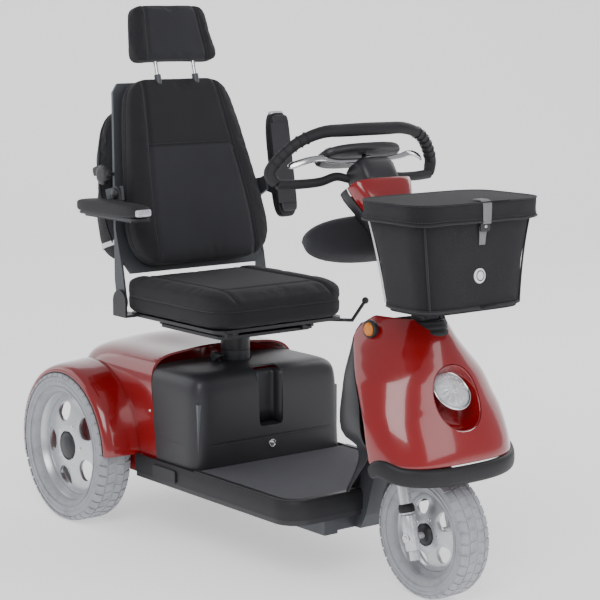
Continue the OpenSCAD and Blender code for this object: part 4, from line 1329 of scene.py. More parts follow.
FRONT_SHELL = [(158, 30, 38, 3.2), (200, 33, 44, 3.4), (250, 36, 56, 3.6), (290, 40, 72, 3.8),
    (322, 44, 84, 4.0), (342, 44, 88, 4.2)]
REAR_SHELL = [(60, 30, 36, 3.4), (120, 31, 38, 3.4), (200, 33, 44, 3.4), (262, 36, 59, 3.6),
    (300, 41, 76, 3.8), (330, 44, 87, 4.0), (342, 44, 88, 4.2)]


def make_tiller_shells():
    made = []
    for front, rows, finish, slot_name, node in ((True, FRONT_SHELL, RED, "gloss_red",
            "tiller_shell_front"), (False, REAR_SHELL, SATIN, "black_plastic", "tiller_shell_rear")):
        low, high = rows[0][0], rows[-1][0]
        rings = [tiller_ring(low + (high - low) * i / 18, rows, front) for i in range(19)]
        name = "tiller front cover" if front else "tiller rear cover"
        shell = piece(name, *loft(rings), finish, "tiller", slot_name, ON_TILLER)
        thickened(shell, 2.4, -1 if front else 1)
        bevelled(shell, 1.0, 2, 50)
        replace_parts(shell, node)
        made.append(shell)
    low_front = [tiller_ring(62 + 50 * i / 5, [(60, 30, 36, 3.4), (115, 30, 37, 3.4)], True)
        for i in range(6)]
    lower = piece("tiller lower front cover", *loft(low_front), SATIN, "tiller", "black_plastic", ON_TILLER)
    thickened(lower, 2.4, -1)
    return made


def make_tiller_head():
    rings = []
    for z, deep, wide in ((HEAD_LOW + 0.5, 82, 100), (HEAD_LOW + 4, 84, 104), (lever_z - 24, 84, 104),
            (lever_z - 10, 76, 96), (lever_z - 3, 62, 84)):
        rings.append([(x, y, z) for x, y in oval(deep, wide, 5, 48)])
    made = piece("tiller head block", *loft(rings, True, True, True), SATIN,
        "tiller", "black_plastic", ON_TILLER)
    sharp_shading(made, 50)
    stem = piece("lever stem", *turned([(0.1, lever_z - 4), (15, lever_z - 4), (15, lever_z - 1),
        (5, lever_z - 1), (5, console_z), (0.1, console_z)], 24, "Z"), CHROME, "tiller", "bare_steel",
        ON_TILLER)
    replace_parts(made, "tiller_head")
    return made, stem


def make_console():
    """A wide oval pod with a raised rim, a soft key pad, a lamp row and the start key."""
    centre = -20
    rings = []
    for z, deep, wide in ((0, 84, 212), (1, 92, 222), (6, 102, 234), (13, 104, 236), (17, 101, 233),
            (18, 96, 228), (16, 92, 224), (15.5, 60, 180), (15.5, 10, 40)):
        rings.append([(centre + x, y, console_z + z) for x, y in oval(deep, wide, 2.9, 64)])
    pod = piece("console pod", *loft(rings, True, True, True), SATIN, "tiller",
        "dark_plastic", ON_TILLER)
    hole = cutter(*loft([[(x - 36, y - 66, z) for x, y in oval(13, 13, 2, 24)] for z in (console_z + 4,
        console_z + 60)], True, True, True), where=ON_TILLER)
    cut(pod, hole)
    sharp_shading(pod, 40)
    block("console face plate", (-58, -40, console_z + 15), (14, 60, console_z + 17.5), SOFT_BLACK,
        "tiller", "soft_grip", ON_TILLER, 7)
    keys = []
    for row in range(2):
        for column in range(4):
            x, y = -44 + 24 * row, -26 + 24 * column
            keys.append(block("key", (x - 7, y - 8, console_z + 16), (x + 7, y + 8, console_z + 20), SATIN,
                "tiller", "dark_plastic", ON_TILLER, 5, 6))
    joined("console keys", keys)
    lamps = [block("lamp", (4 - 2, y - 3, console_z + 16.5), (4 + 2, y + 3, console_z + 18.6), finish,
        "tiller", "amber", ON_TILLER, 4, 6) for y, finish in ((-20, RED_LENS), (-8, AMBER), (4, AMBER),
        (16, CLEAR), (28, CLEAR))]
    joined("console lamps", lamps)
    lock_barrel("start lock", (-36, 84, console_z + 15), (0, 0, 1), "tiller", ON_TILLER, 9)
    bow = [(x * 0.5 - 36, 84, console_z + 26 + y * 0.5 + 8) for x, y in oval(26, 30, 2.4, 24)]
    key_verts, key_faces = loft([[(x, y + d, z) for x, y, z in bow] for d in (-1.6, 1.6)], True, True, True)
    key = piece("start key bow", key_verts, key_faces, SOFT_BLACK, "tiller", "soft_grip", ON_TILLER)
    bevelled(key, 0.6, 2, 40)
    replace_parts(pod, "console")
    return pod


def make_dial():
    knurl = []
    for z, radius, depth in ((26.5, 12.5, 0), (27, 13.8, 0.7), (36, 13.4, 0.7), (38.2, 11.5, 0.2),
            (38.5, 6, 0)):
        knurl.append([((radius - depth * (i % 2)) * math.cos(2 * math.pi * i / 40) - 36,
            (radius - depth * (i % 2)) * math.sin(2 * math.pi * i / 40) - 66, console_z + z)
            for i in range(40)])
    made = piece("speed dial knob", *loft(knurl, True, True, True), ALLOY, "speed_dial", "bare_steel",
        ON_TILLER)
    sharp_shading(made, 30)
    stem = piece("speed dial stem", *turned([(0.1, console_z + 8), (5.8, console_z + 8),
        (5.8, console_z + 27), (0.1, console_z + 27)], 20, "Z"), CHROME, "speed_dial", "bare_steel",
        ON_TILLER @ Matrix.Translation((-36, -66, 0)))
    mark = block("speed dial mark", (-26, -67, console_z + 38), (-30, -65, console_z + 39.2), REFLECT,
        "speed_dial", "bare_steel", ON_TILLER, 4, 4)
    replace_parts(made, "speed_knob")
    return made, stem, mark


def make_handlebar():
    """One padded loop: over the console, down past both sides and back in to the head."""
    right = [(36, 0, bar_z), (35, 60, bar_z), (34, 112, bar_z), (27, 152, bar_z - 5), (10, 190, bar_z - 14),
        (-18, 222, bar_z - 30), (-46, 244, bar_z - 49), (-56, 243, bar_z - 64), (-58, 234, bar_z - 80)]
    line = [(x, -y, z) for x, y, z in right[::-1]] + right[1:]
    path = through(line, 7)
    bulge = lambda t: 1.0 + 0.08 * math.cos(4 * math.pi * t) - 0.25 * abs(2 * t - 1) ** 10
    made = tube("handlebar loop", path, 29, SOFT_BLACK, "tiller", "soft_grip", ON_TILLER, 20, scale=bulge)
    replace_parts(made, "handlebar_top", "handle_grips")
    for s in (-1, 1):
        low = [(-58, s * 232, bar_z - 82), (-52, s * 182, bar_z - 88), (-44, s * 120, bar_z - 90),
            (-36, s * 74, HEAD_LOW + 48), (-26, s * 46, HEAD_LOW + 34)]
        name = "left" if s > 0 else "right"
        stay = tube("handlebar lower arm " + name, through(low, 6), 21, SOFT_BLACK, "tiller",
            "black_plastic", ON_TILLER, 16, scale=lambda t: 1.12 - 0.2 * t)
        if s > 0:
            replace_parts(stay, "handlebar_stays")
    ribs = []
    for s in (-1, 1):
        for k in range(6):
            at = path[len(path) // 2 + s * (24 + 3 * k)]
            ahead = path[len(path) // 2 + s * (25 + 3 * k)] - at
            turn = ahead.to_track_quat("Z", "Y").to_matrix().to_4x4()
            verts, faces = turned([(14.2, -1.4), (15.6, -0.8), (15.6, 0.8), (14.2, 1.4)], 24, "Z", True)
            ribs.append(piece("grip rib", verts, faces, SOFT_BLACK, "tiller", "soft_grip",
                ON_TILLER @ Matrix.Translation(at) @ turn))
    joined("grip ribs", ribs)
    return made


def make_throttle():
    """The curved drive lever: two slim silver blades that follow the loop below the grips."""
    parts = []
    for s in (-1, 1):
        line = [(0, s * 12, lever_z + 5), (0, s * 70, lever_z + 6), (3, s * 108, lever_z + 9),
            (4, s * 130, lever_z + 14), (-4, s * 156, lever_z + 17), (-18, s * 182, lever_z + 17),
            (-34, s * 203, lever_z + 17)]
        path = through(line, 6)
        verts, faces = swept(path, oval(6.5, 16, 3.2, 16), up=lambda i, p: (0, 0, 1),
            scale=lambda t: (0.75 + 0.35 * t) * (1 - 0.5 * max(0, t - 0.94) / 0.06))
        parts.append(piece("blade", verts, faces, CHROME, "throttle", "bare_steel", ON_TILLER))
    hub = piece("hub", *turned([(5.2, lever_z), (15, lever_z + 0.5), (16, lever_z + 3), (15, lever_z + 10),
        (12, lever_z + 12), (5.2, lever_z + 12)], 32, "Z", True), CHROME, "throttle", "bare_steel",
        ON_TILLER)
    made = joined("drive lever blades", parts + [hub])
    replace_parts(made, "throttle_lever")
    return made


make_tiller_shells()
make_tiller_head()
make_console()
make_dial()
make_handlebar()
make_throttle()

# ---- basket ----

basket_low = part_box("basket")[0].z * 1000
basket_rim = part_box("basket")[1].z * 1000
lid_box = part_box("basket_lid")
lid_back = (lid_box[0].x - post_x) * 1000
lid_front = (lid_box[1].x - post_x) * 1000
lid_half = lid_box[1].y * 1000
lid_top = lid_box[1].z * 1000
LID_DEEP = 46


def basket_walls(z):
    """Back x, front x and half width of the basket at a height, a little drawn in half way up."""
    t = (z - basket_low) / (basket_rim - basket_low)
    sag = 5 * math.sin(math.pi * min(1, max(0, t)))
    return (lid_back + 50 - 50 * t + sag * 0.4, lid_front - 20 + 13 * t - sag, lid_half - 40 + 34 * t - sag
        * 0.8)


def basket_outline(z, grow=0.0, corner=4.6, count=72):
    back, front, half = basket_walls(z)
    x_mid, x_half = (back + front) / 2, (front - back) / 2 + grow
    ring = []
    for i in range(count):
        a = 2 * math.pi * i / count
        c, s = math.cos(a), math.sin(a)
        x = x_mid + x_half * math.copysign(abs(c) ** (2 / corner), c)
        y = (half + grow) * math.copysign(abs(s) ** (2 / corner), s)
        ring.append((x, y, z))
    return ring


def rumple(point, size):
    """A gentle, repeatable unevenness for cloth."""
    x, y, z = point
    return size * (math.sin(x * 0.031 + z * 0.043) * math.cos(y * 0.027 + 1.3) + 0.5
        * math.sin(y * 0.061 + z * 0.05))


def make_basket():
    levels = [basket_low, basket_low + 3, basket_low + 10] + [basket_low + 10 + (basket_rim - basket_low
        - 12) * i / 12 for i in range(1, 13)]
    rings = []
    for k, z in enumerate(levels):
        ring = basket_outline(z, -4 if k == 0 else 0)
        centre = Vector((sum(p[0] for p in ring) / len(ring), 0, z))
        moved = []
        for p in ring:
            out = (Vector(p) - centre)
            out.z = 0
            share = math.sin(math.pi * k / (len(levels) - 1))
            moved.append(Vector(p) + out.normalized() * rumple(p, 1.6) * share)
        rings.append(moved)
    walls = piece("basket walls", *loft(rings, closed=True), CANVAS, "tiller", "bag_fabric")
    base_rings = [[(x, y, basket_low + 0.3) for x, y, _ in shrink(rings[0], s)] for s in (1, 0.8, 0.5, 0.2)]
    base = piece("basket base", *loft(base_rings, closed=True, cap_last=True), BLACK, "tiller", "bag_fabric")
    made = joined("basket body", [walls, base])
    tidy_mesh(made)
    thickened(made, 3, -1)
    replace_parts(made, "basket")
    return made


def shrink(ring, share):
    cx = sum(p[0] for p in ring) / len(ring)
    return [(cx + (p[0] - cx) * share, p[1] * share, p[2]) for p in ring]


def lid_ring(grow, z, corner=5.0, count=72):
    x_mid, x_half = (lid_back + lid_front) / 2, (lid_front - lid_back) / 2 + grow
    return [(x_mid + x_half * math.copysign(abs(math.cos(a)) ** (2 / corner), math.cos(a)),
        (lid_half + grow) * math.copysign(abs(math.sin(a)) ** (2 / corner), math.sin(a)),
        z) for a in [2 * math.pi * i / count for i in range(count)]]


def make_lid():
    """The soft lid: a padded top and a skirt that overhangs the walls on three sides."""
    rings = []
    for share in (0.05, 0.3, 0.6, 0.85, 0.96):
        crown = 2.5 * (1 - share ** 2)
        rings.append([(x, y, lid_top - 3 + crown) for x, y, _ in shrink(lid_ring(0, lid_top), share)])
    for grow, drop in ((-1.0, 1.5), (0, 5), (0.5, 12), (-0.5, 22), (-0.5, 34), (0.5, 42), (1.0, LID_DEEP)):
        ring = []
        for x, y, _ in lid_ring(grow, 0):
            wave = 1.2 * math.sin(y * 0.045 + x * 0.02) * (drop / LID_DEEP)
            low = lid_top - drop + (wave if drop > 20 else 0)
            if x < lid_back + 16:
                low = max(low, lid_top - 12)
            ring.append((x, y, low))
        rings.append(ring)
    made = piece("basket lid cloth", *loft(rings, closed=True, cap_first=True), CANVAS, "basket_cover",
        "bag_fabric")
    thickened(made, 2.4, -1)
    subdivided(made, 1)
    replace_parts(made, "basket_lid")
    hem = [Vector(p) for p in rings[-1] if p[0] > lid_back + 20]
    gap_at = max(range(len(hem)), key=lambda i: (hem[i] - hem[i - 1]).length)
    hem = hem[gap_at:] + hem[:gap_at]
    hem = [p + Vector((0, 0, 1)) for p in hem]
    tube("lid hem binding", hem, 5, PIPING, "basket_cover", "bag_fabric", sides=10)
    top_edge = [Vector(p) for p in lid_ring(0.2, lid_top - 3)]
    tube("lid top piping", top_edge + top_edge[:2], 4, PIPING, "basket_cover", "bag_fabric", sides=8)
    stitches = [p + Vector((0, 0, 7)) + (p - Vector(((lid_back + lid_front) / 2, 0, p.z))).normalized()
        * 0.8 for p in hem]
    on_path("lid hem stitches", stitches, stitch(), 7.5, THREAD, "basket_cover", ON_POST)
    return made


def skin_path(side_angle, z0, z1, grow, steps=14):
    """A line up the basket's wall at an angle round it."""
    line = []
    for i in range(steps + 1):
        z = z0 + (z1 - z0) * i / steps
        ring = basket_outline(z, grow, count=360)
        line.append(ring[int(side_angle) % 360])
    return line


def make_basket_trim():
    for angle, name in ((312, "right front"), (48, "left front"), (228, "right rear"), (132, "left rear")):
        path = skin_path(angle, basket_low + 8, basket_rim - LID_DEEP + 12, 2.2)
        tube("basket corner piping " + name, path, 5, PIPING, "tiller", "bag_fabric", sides=8)
    for s, name in SIDES:
        angle = 270 - 38 if s < 0 else 90 + 38
        path = skin_path(angle, basket_low + 14, basket_rim - LID_DEEP + 8, 3.4, 20)
        centre_x = (lid_back + lid_front) / 2
        verts, faces = swept(path, oval(13, 2.4, 5, 12), up=lambda i,
            p: Vector((p.x - centre_x, p.y, 0)).normalized())
        piece("basket reflective band " + name, verts, faces, REFLECT, "tiller", "bag_fabric")
    low_band = basket_outline(basket_low + 7, 1.6)
    tube("basket base binding", [Vector(p) for p in low_band + low_band[:2]], 6, PIPING, "tiller",
        "bag_fabric", sides=8)


def make_basket_strap():
    """The webbing strap that holds the lid down, with its buckle and keeper."""
    line = [(lid_front - 30, 0, lid_top + 1.5), (lid_front - 8, 0, lid_top + 1),
        (lid_front + 1.6, 0, lid_top - 6), (lid_front + 2.6, 0, lid_top - 26),
        (lid_front + 2.4, 0, lid_top - 50)]
    path = through(line, 6)
    out = lambda i, p: (0.25, 0, 1) if p.z > lid_top - 3 else (1, 0, 0.15)
    verts, faces = swept(path, oval(30, 2.4, 5, 12), up=out, scale=lambda t: 1 - 0.18 * t)
    piece("lid strap", verts, faces, WEBBING, "basket_cover", "bag_fabric")
    low = []
    for i in range(9):
        z = lid_top - 54 - 44 * i / 8
        front = basket_walls(z)[1]
        low.append((front + 3.4, 0, z))
    verts, faces = swept(low, oval(24, 2.4, 5, 12), up=(1, 0, 0), scale=lambda t: 1 - 0.25 * t)
    piece("basket strap tail", verts, faces, WEBBING, "tiller", "bag_fabric")
    z = lid_top - 52
    front = basket_walls(z)[1]
    buckle = block("strap buckle", (front + 4.5, -14, z - 16), (front + 10, 14, z + 12), SATIN, "tiller",
        "black_plastic", power=6)
    screws("strap buckle stud", [((front + 10, 0, z - 4), (1, 0, 0))], ALLOY, "tiller", "bare_steel")
    z = basket_low + 78
    front = basket_walls(z)[1]
    disc = [(0.2, 2.4), (12, 2.4), (15.5, 1.9), (17, 0.6), (17, -1)]
    tilt = ON_POST @ Matrix.Translation((front + 1.0, 0, z)) @ Matrix.Rotation(math.radians(86), 4, "Y")
    piece("basket plain disc", *turned(disc, 48, "Z"), REFLECT, "tiller", "bag_fabric", tilt)
    inner = [(9.6, 2.3), (10.4, 3.1), (11.4, 3.1), (12.2, 2.3)]
    piece("basket disc ring", *turned(inner, 48, "Z", True), BLACK, "tiller", "bag_fabric", tilt)
    return buckle


make_basket()
make_lid()
make_basket_trim()
make_basket_strap()

# ---- seat ----

seat_low, seat_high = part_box("seat_cushion")
seat_back = (seat_low.x - post_x) * 1000
seat_front = (seat_high.x - post_x) * 1000
seat_half = seat_high.y * 1000
cushion_z = seat_low.z * 1000
PUFF_STEPS = 20


def inflate(made, pressure, reach, voxel=0.006):
    """Fills a cushion with air: cloth simulation on a remeshed copy, no point moving further than reach."""
    modify(made, "REMESH", mode="VOXEL", voxel_size=voxel)
    apply_modifiers(made)
    start = np.zeros(len(made.data.vertices) * 3, np.float32)
    made.data.vertices.foreach_get("co", start)
    cloth = modify(made, "CLOTH")
    cloth.settings.use_pressure = True
    cloth.settings.uniform_pressure_force = pressure
    cloth.settings.effector_weights.gravity = 0
    cloth.settings.quality = 5
    cloth.settings.tension_stiffness = 25
    cloth.settings.compression_stiffness = 25
    cloth.settings.bending_stiffness = 2
    cloth.point_cache.frame_start, cloth.point_cache.frame_end = 1, PUFF_STEPS
    for step in range(1, PUFF_STEPS + 1):
        bpy.context.scene.frame_set(step)
    apply_modifiers(made)
    bpy.context.scene.frame_set(1)
    moved = np.zeros(len(made.data.vertices) * 3, np.float32)
    made.data.vertices.foreach_get("co", moved)
    shift = (moved - start).reshape(-1, 3)
    length = np.linalg.norm(shift, axis=1, keepdims=True)
    limit = np.minimum(1, (reach / 1000) / np.maximum(length, 1e-9))
    made.data.vertices.foreach_set("co", (start.reshape(-1, 3) + shift * limit).ravel())
    made.data.update()
    made.data.shade_smooth()
    return made


def shaped(made, where, change):
    """Moves each point of a mesh in its own drawing frame."""
    back = where.inverted()
    for vert in made.data.vertices:
        vert.co = where @ Vector(change(back @ vert.co))
    made.data.update()
    return made


def channel(distance, width, depth):
    """How far a sewn seam pulls the surface in at a distance from its line."""
    return depth * math.exp(-(distance / width) ** 2)


SEAT_BOLSTER = 148


def seat_form(u, v, w):
    """Waterfall front, raised side bolsters and a dip where the rider sits."""
    front = max(0.0, u)
    side = max(0.0, abs(v) - 0.62) / 0.38
    top = max(0.0, w)
    drop = 0.34 * front ** 6 * top
    dish = 0.13 * (1 - side) * top * (1 - 0.3 * front)
    pull = 1 - 0.07 * front ** 4 - 0.02 * abs(w) ** 4
    return u * (1 - 0.03 * abs(v) ** 4), v * pull, w - drop - dish + 0.05 * side * top


def make_seat_cushion():
    low = (seat_back + 6, -seat_half + 6, cushion_z + 0.4)
    high = (seat_front - 6, seat_half - 6, cushion_z + 92)
    made = piece("seat cushion padding", *soft_block(low, high, 10, 30, seat_form), CLOTH, "seat",
        "upholstery")
    inflate(made, 4.0, 6)

    def sew(p):
        x, y, z = p
        if z > cushion_z + 30:
            pull = channel(abs(y) - SEAT_BOLSTER, 7, 5)
            if abs(y) < SEAT_BOLSTER:
                pull += channel(x - (seat_front - 84), 6, 3.5)
            z -= pull
        edge = channel(z - (cushion_z + 46), 4, 3.2)
        if abs(y) > seat_half - 40:
            y -= math.copysign(edge, y)
        if x > seat_front - 50:
            x -= edge
        z = max(z, cushion_z + 0.3)
        return x, y, z
    subdivided(made, 1)
    shaped(made, ON_POST, sew)
    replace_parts(made, "seat_cushion")
    return made


def surface_points(made, where, points, direction, lift=0.6):
    """Drops points on a piece along a direction, in the drawing frame, so that a seam lies on its cloth."""
    back = where.inverted()
    out = []
    turn = where.to_3x3()
    aim = (turn @ Vector(direction)).normalized()
    for point in points:
        start = where @ Vector(point) - aim * 0.12
        hit, spot, normal, _ = made.ray_cast(start, aim)
        if hit:
            out.append(back @ (spot + normal * lift / 1000))
    return out


def seam(name, made, where, points, direction, body, slot_name, thick=2.6, lift=-0.4):
    line = surface_points(made, where, points, direction, lift)
    if len(line) > 3:
        return tube(name, line, thick, PIPING, body, slot_name, where, 8)
    return None


def stitched(name, made, where, points, direction, body, spacing=7.0):
    line = surface_points(made, where, points, direction, 0.3)
    if len(line) > 3:
        return on_path(name, line, stitch(), spacing, THREAD, body, where)
    return None


def sew_seat(made):
    for s, name in SIDES:
        line = [(seat_back + 30 + (seat_front - seat_back - 60) * i / 40, s * SEAT_BOLSTER, cushion_z + 80)
            for i in range(41)]
        seam("seat bolster seam " + name, made, ON_POST, line, (0, 0, -1), "seat", "upholstery")
        for offset in (-6, 6):
            side = [(x, y + offset, z) for x, y, z in line]
            stitched("seat bolster stitches " + name + (" inner" if offset * s < 0 else " outer"), made,
                ON_POST, side, (0, 0, -1), "seat")
    cross = [(seat_front - 84, -SEAT_BOLSTER + 4 + (2 * SEAT_BOLSTER - 8) * i / 40, cushion_z + 80)
        for i in range(41)]
    seam("seat front seam", made, ON_POST, cross, (0, 0, -1), "seat", "upholstery")
    band = []
    for i in range(41):
        y = -seat_half + 30 + (2 * seat_half - 60) * i / 40
        band.append((seat_front + 20, y, cushion_z + 46))
    seam("seat front piping", made, ON_POST, band, (-1, 0, 0), "seat", "upholstery", 4.5, 0.4)
    for s, name in SIDES:
        side = [(seat_back + 26 + (seat_front - seat_back - 70) * i / 40, s * (seat_half + 20),
            cushion_z + 46) for i in range(41)]
        seam("seat side piping " + name, made, ON_POST, side, (0, -s, 0), "seat", "upholstery", 4.5, 0.4)


def corners(node, where):
    """A node's lowest and highest corner in a drawing frame."""
    back = where.inverted()
    spots = [back @ vert.co for vert in nodes[node].data.vertices]
    return [Vector([pick(spot[k] for spot in spots) for k in range(3)]) for pick in (min, max)]


back_low, back_high = corners("back_cushion", ON_BACK)
PAD_BACK = back_low.x
PAD_FRONT = back_high.x
BACK_Z0, BACK_Z1 = back_low.z, back_high.z
# height share up the backrest and half width there
BACK_SHAPE = [(0.0, 190), (0.07, 212), (0.16, 223), (0.3, 220), (0.5, 205), (0.72, 187), (0.88, 171),
    (0.95, 160), (1.0, 146)]
INSERT_TOP = 0.62


def back_form(u, v, w):
    share = (w + 1) / 2
    half = between(BACK_SHAPE, share)[0] / back_high.y
    front = max(0.0, u)
    side = max(0.0, abs(v) - 0.62) / 0.38
    lumbar = 0.16 * math.exp(-((share - 0.30) / 0.2) ** 2) * front * (1 - side)
    dish = -0.18 * front * (1 - side) * (0.4 + 0.6 * share)
    thin = -0.14 * front * max(0, share - 0.72) / 0.28
    return u + lumbar + dish + thin, v * half * (0.985 + 0.015 * (1 - abs(u))), w


def make_back_cushion():
    low = (PAD_BACK + 4, -back_high.y + 4, BACK_Z0 + 5)
    high = (PAD_FRONT - 5, back_high.y - 4, BACK_Z1 - 5)
    made = piece("backrest padding", *soft_block(low, high, 10, 30, back_form), CLOTH, "backrest",
        "upholstery", ON_BACK)
    inflate(made, 4.0, 6)
    seam_z = BACK_Z0 + (BACK_Z1 - BACK_Z0) * INSERT_TOP

    def sew(p):
        x, y, z = p
        if x > (PAD_BACK + PAD_FRONT) / 2:
            half = insert_half(z)
            pull = channel(abs(y) - half, 6, 5)
            if abs(y) < half:
                pull += channel(z - seam_z, 5, 4.5)
            x -= pull
        edge = channel(x - (PAD_BACK + 34), 4, 3)
        if abs(y) > insert_half(z) + 10:
            y -= math.copysign(edge, y)
        return max(x, PAD_BACK + 0.4), y, z
    subdivided(made, 1)
    shaped(made, ON_BACK, sew)
    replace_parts(made, "back_cushion")
    paint_insert(made, ON_BACK, lambda p: p.x > PAD_BACK + 40 and abs(p.y) < insert_half(p.z)
        and p.z < seam_z, lambda p: abs(p.y) > 150 and p.x < PAD_BACK + 34 and False)
    return made


def insert_half(z):
    share = (z - BACK_Z0) / (BACK_Z1 - BACK_Z0)
    return between([(0, 150), (0.1, 152), (0.3, 148), (0.62, 132), (0.8, 122), (1.0, 112)], share)[0]


def paint_insert(made, where, is_insert, is_side):
    """Gives the sewn-in panels their own cloth."""
    back = where.inverted()
    made.data.materials.append(INSERT)
    made.data.materials.append(SIDE_CLOTH)
    for polygon in made.data.polygons:
        spot = back @ polygon.center
        if is_insert(spot):
            polygon.material_index = 1
        elif is_side(spot):
            polygon.material_index = 2


def sew_back(made):
    seam_z = BACK_Z0 + (BACK_Z1 - BACK_Z0) * INSERT_TOP
    far = PAD_FRONT + 10
    for s, name in SIDES:
        line = []
        for i in range(49):
            z = BACK_Z0 + 24 + (BACK_Z1 - BACK_Z0 - 44) * i / 48
            line.append((far, s * insert_half(z), z))
        seam("backrest panel seam " + name, made, ON_BACK, line, (-1, 0, 0), "backrest", "upholstery")
        side = [(x, y + s * 6, z) for x, y, z in line]
        stitched("backrest stitches " + name, made, ON_BACK, side, (-1, 0, 0), "backrest")
    cross = [(far, -insert_half(seam_z) + 2 * insert_half(seam_z) * i / 40, seam_z) for i in range(41)]
    seam("backrest cross seam", made, ON_BACK, cross, (-1, 0, 0), "backrest", "upholstery")
    stitched("backrest cross stitches", made, ON_BACK, [(x, y, z + 6) for x, y, z in cross], (-1, 0, 0),
        "backrest")
    for s, name in SIDES:
        side = []
        for i in range(41):
            z = BACK_Z0 + 40 + (BACK_Z1 - BACK_Z0 - 90) * i / 40
            side.append((PAD_BACK + 34, s * (back_high.y + 30), z))
        seam("backrest side piping " + name, made, ON_BACK, side, (0, -s, 0), "backrest", "upholstery", 4.5,
            0.3)


head_low, head_high = corners("headrest_cushion", ON_BACK)


def head_form(u, v, w):
    top = max(0.0, w)
    side = max(0.0, abs(v) - 0.66) / 0.34
    front = max(0.0, u)
    return (u + 0.10 * side * front - 0.16 * front * (1 - side) * (1 - w * w) - 0.22 * top ** 3 * front,
        v * (1 - 0.17 * (w + 1) / 2), w - 0.05 * abs(v) ** 3 * top)


def make_headrest():
    low = head_low + Vector((5, 5, 5))
    high = head_high - Vector((5, 5, 5))
    made = piece("headrest padding", *soft_block(low, high, 8, 24, head_form), CLOTH, "headrest",
        "upholstery", ON_BACK)
    inflate(made, 4.0, 5, 0.005)
    half = 92

    def sew(p):
        x, y, z = p
        if x > head_low.x + 30:
            x -= channel(abs(y) - (half - (z - head_low.z) * 0.09), 5, 4)
        return x, y, z
    subdivided(made, 1)
    shaped(made, ON_BACK, sew)
    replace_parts(made, "headrest_cushion")
    paint_insert(made, ON_BACK, lambda p: p.x > head_low.x + 34 and abs(p.y) < half - (p.z - head_low.z)
        * 0.09, lambda p: False)
    for s, name in SIDES:
        line = []
        for i in range(31):
            z = head_low.z + 14 + (head_high.z - head_low.z - 28) * i / 30
            line.append((head_high.x + 14, s * (half - (z - head_low.z) * 0.09), z))
        seam("headrest seam " + name, made, ON_BACK, line, (-1, 0, 0), "headrest", "upholstery")
        stitched("headrest stitches " + name, made, ON_BACK, [(x, y + s * 5, z) for x, y, z in line],
            (-1, 0, 0), "headrest", 6.5)
    return made


seat_pad = make_seat_cushion()
sew_seat(seat_pad)
back_pad = make_back_cushion()
sew_back(back_pad)
make_headrest()


def back_shell_trim():
    """A moulded cover over the backrest's steel shell."""
    rings = []
    for share in [i / 24 for i in range(25)]:
        z = BACK_Z0 + 8 + (BACK_Z1 - BACK_Z0 - 16) * share
        half = between(BACK_SHAPE, share)[0] - 4
        rings.append([(20 - 6 * (1 - (k / 8 - 1) ** 4), half * (k / 8 - 1), z) for k in range(17)])
    made = piece("backrest rear cover", *loft(rings), SATIN, "backrest", "black_plastic", ON_BACK)
    thickened(made, 2.5, 0)
    subdivided(made, 1)
    return made


back_shell_trim()

# ---- armrests ----


def arm_frame(node):
    """The armrest's own frame: origin at its pivot, X along the pad, found from the pad's own corners."""
    spots = np.array([vert.co for vert in nodes[node].data.vertices])
    pivot = right_arm if "right" in node else left_arm
    middle = spots.mean(axis=0)
    spread = spots - middle
    spread[:, 1] = 0
    _, _, axes = np.linalg.svd(spread, full_matrices=False)
    along = Vector(axes[0])
    if along.dot(Vector(middle) - pivot) < 0:
        along = -along
    up = along.cross(Vector((0, 1, 0))).normalized()
    turn = Matrix((along, Vector((0, 1, 0)), up)).transposed().to_4x4()
    return Matrix.Translation((pivot.x, 0, pivot.z)) @ turn @ Matrix.Scale(0.001, 4)


def make_armrest(name):
    node = "armrest_pad_" + name
    place = arm_frame(node)
    low, high = corners(node, place)

    def form(u, v, w):
        front = max(0.0, u)
        return (u, v * (1 - 0.10 * front ** 3), w - 0.10 * front ** 4 * max(0, w) + 0.04 * (1 - v * v)
            * max(0, w))
    made = piece("armrest cushion " + name, *soft_block(low, high, 4.6, 22, form), SOFT_BLACK,
        "armrest_" + name, "soft_grip", place)
    subdivided(made, 1)
    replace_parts(made, node)
    block("armrest base " + name, (low.x + 14, low.y + 7, low.z - 5), (high.x - 12, high.y - 7, low.z + 3),
        SATIN, "armrest_" + name, "black_plastic", place, 9, 12)
    # The pale block on the pad's front tip is a painted highlight: it stands in for the glint on the pad's
    # rounded end.
    block("armrest light end " + name, (high.x - 16, low.y + 12, low.z + 6), (high.x + 1.5, high.y - 12,
        high.z - 9), WHITE_STEEL, "armrest_" + name, "white_steel", place, 5, 12)
    middle_y = (low.y + high.y) / 2
    spots = [((x, middle_y + dy, low.z - 5), (0, 0, -1)) for x, dy in ((low.x + 50, -12), (low.x + 50, 12),
        (low.x + 130, -12), (low.x + 130, 12), (high.x - 50, 0))]
    screws("armrest screws " + name, spots, CHROME, "armrest_" + name, "bare_steel", place, 4.5)
    block("armrest catch plate " + name, (low.x + 74, middle_y - 12, low.z - 7),
        (low.x + 104, middle_y + 12, low.z - 3), REFLECT, "armrest_" + name, "bare_steel", place, 8, 8)
    return made


make_armrest("right")
make_armrest("left")
for name, side in (("right", -1), ("left", 1)):
    pivot_at = right_arm if name == "right" else left_arm
    spot = Matrix.Translation((pivot_at.x, side * 0.2425, pivot_at.z)) @ Matrix.Scale(0.001, 4)
    cap = [(0.2, 6), (9, 5.4), (13, 3.4), (14.5, 0)]
    flip = Matrix.Scale(side, 4, (0, 1, 0))
    piece("armrest pivot cap " + name, *turned(cap, 32, "Y"), SATIN, "armrest_" + name, "black_plastic",
        spot @ flip)


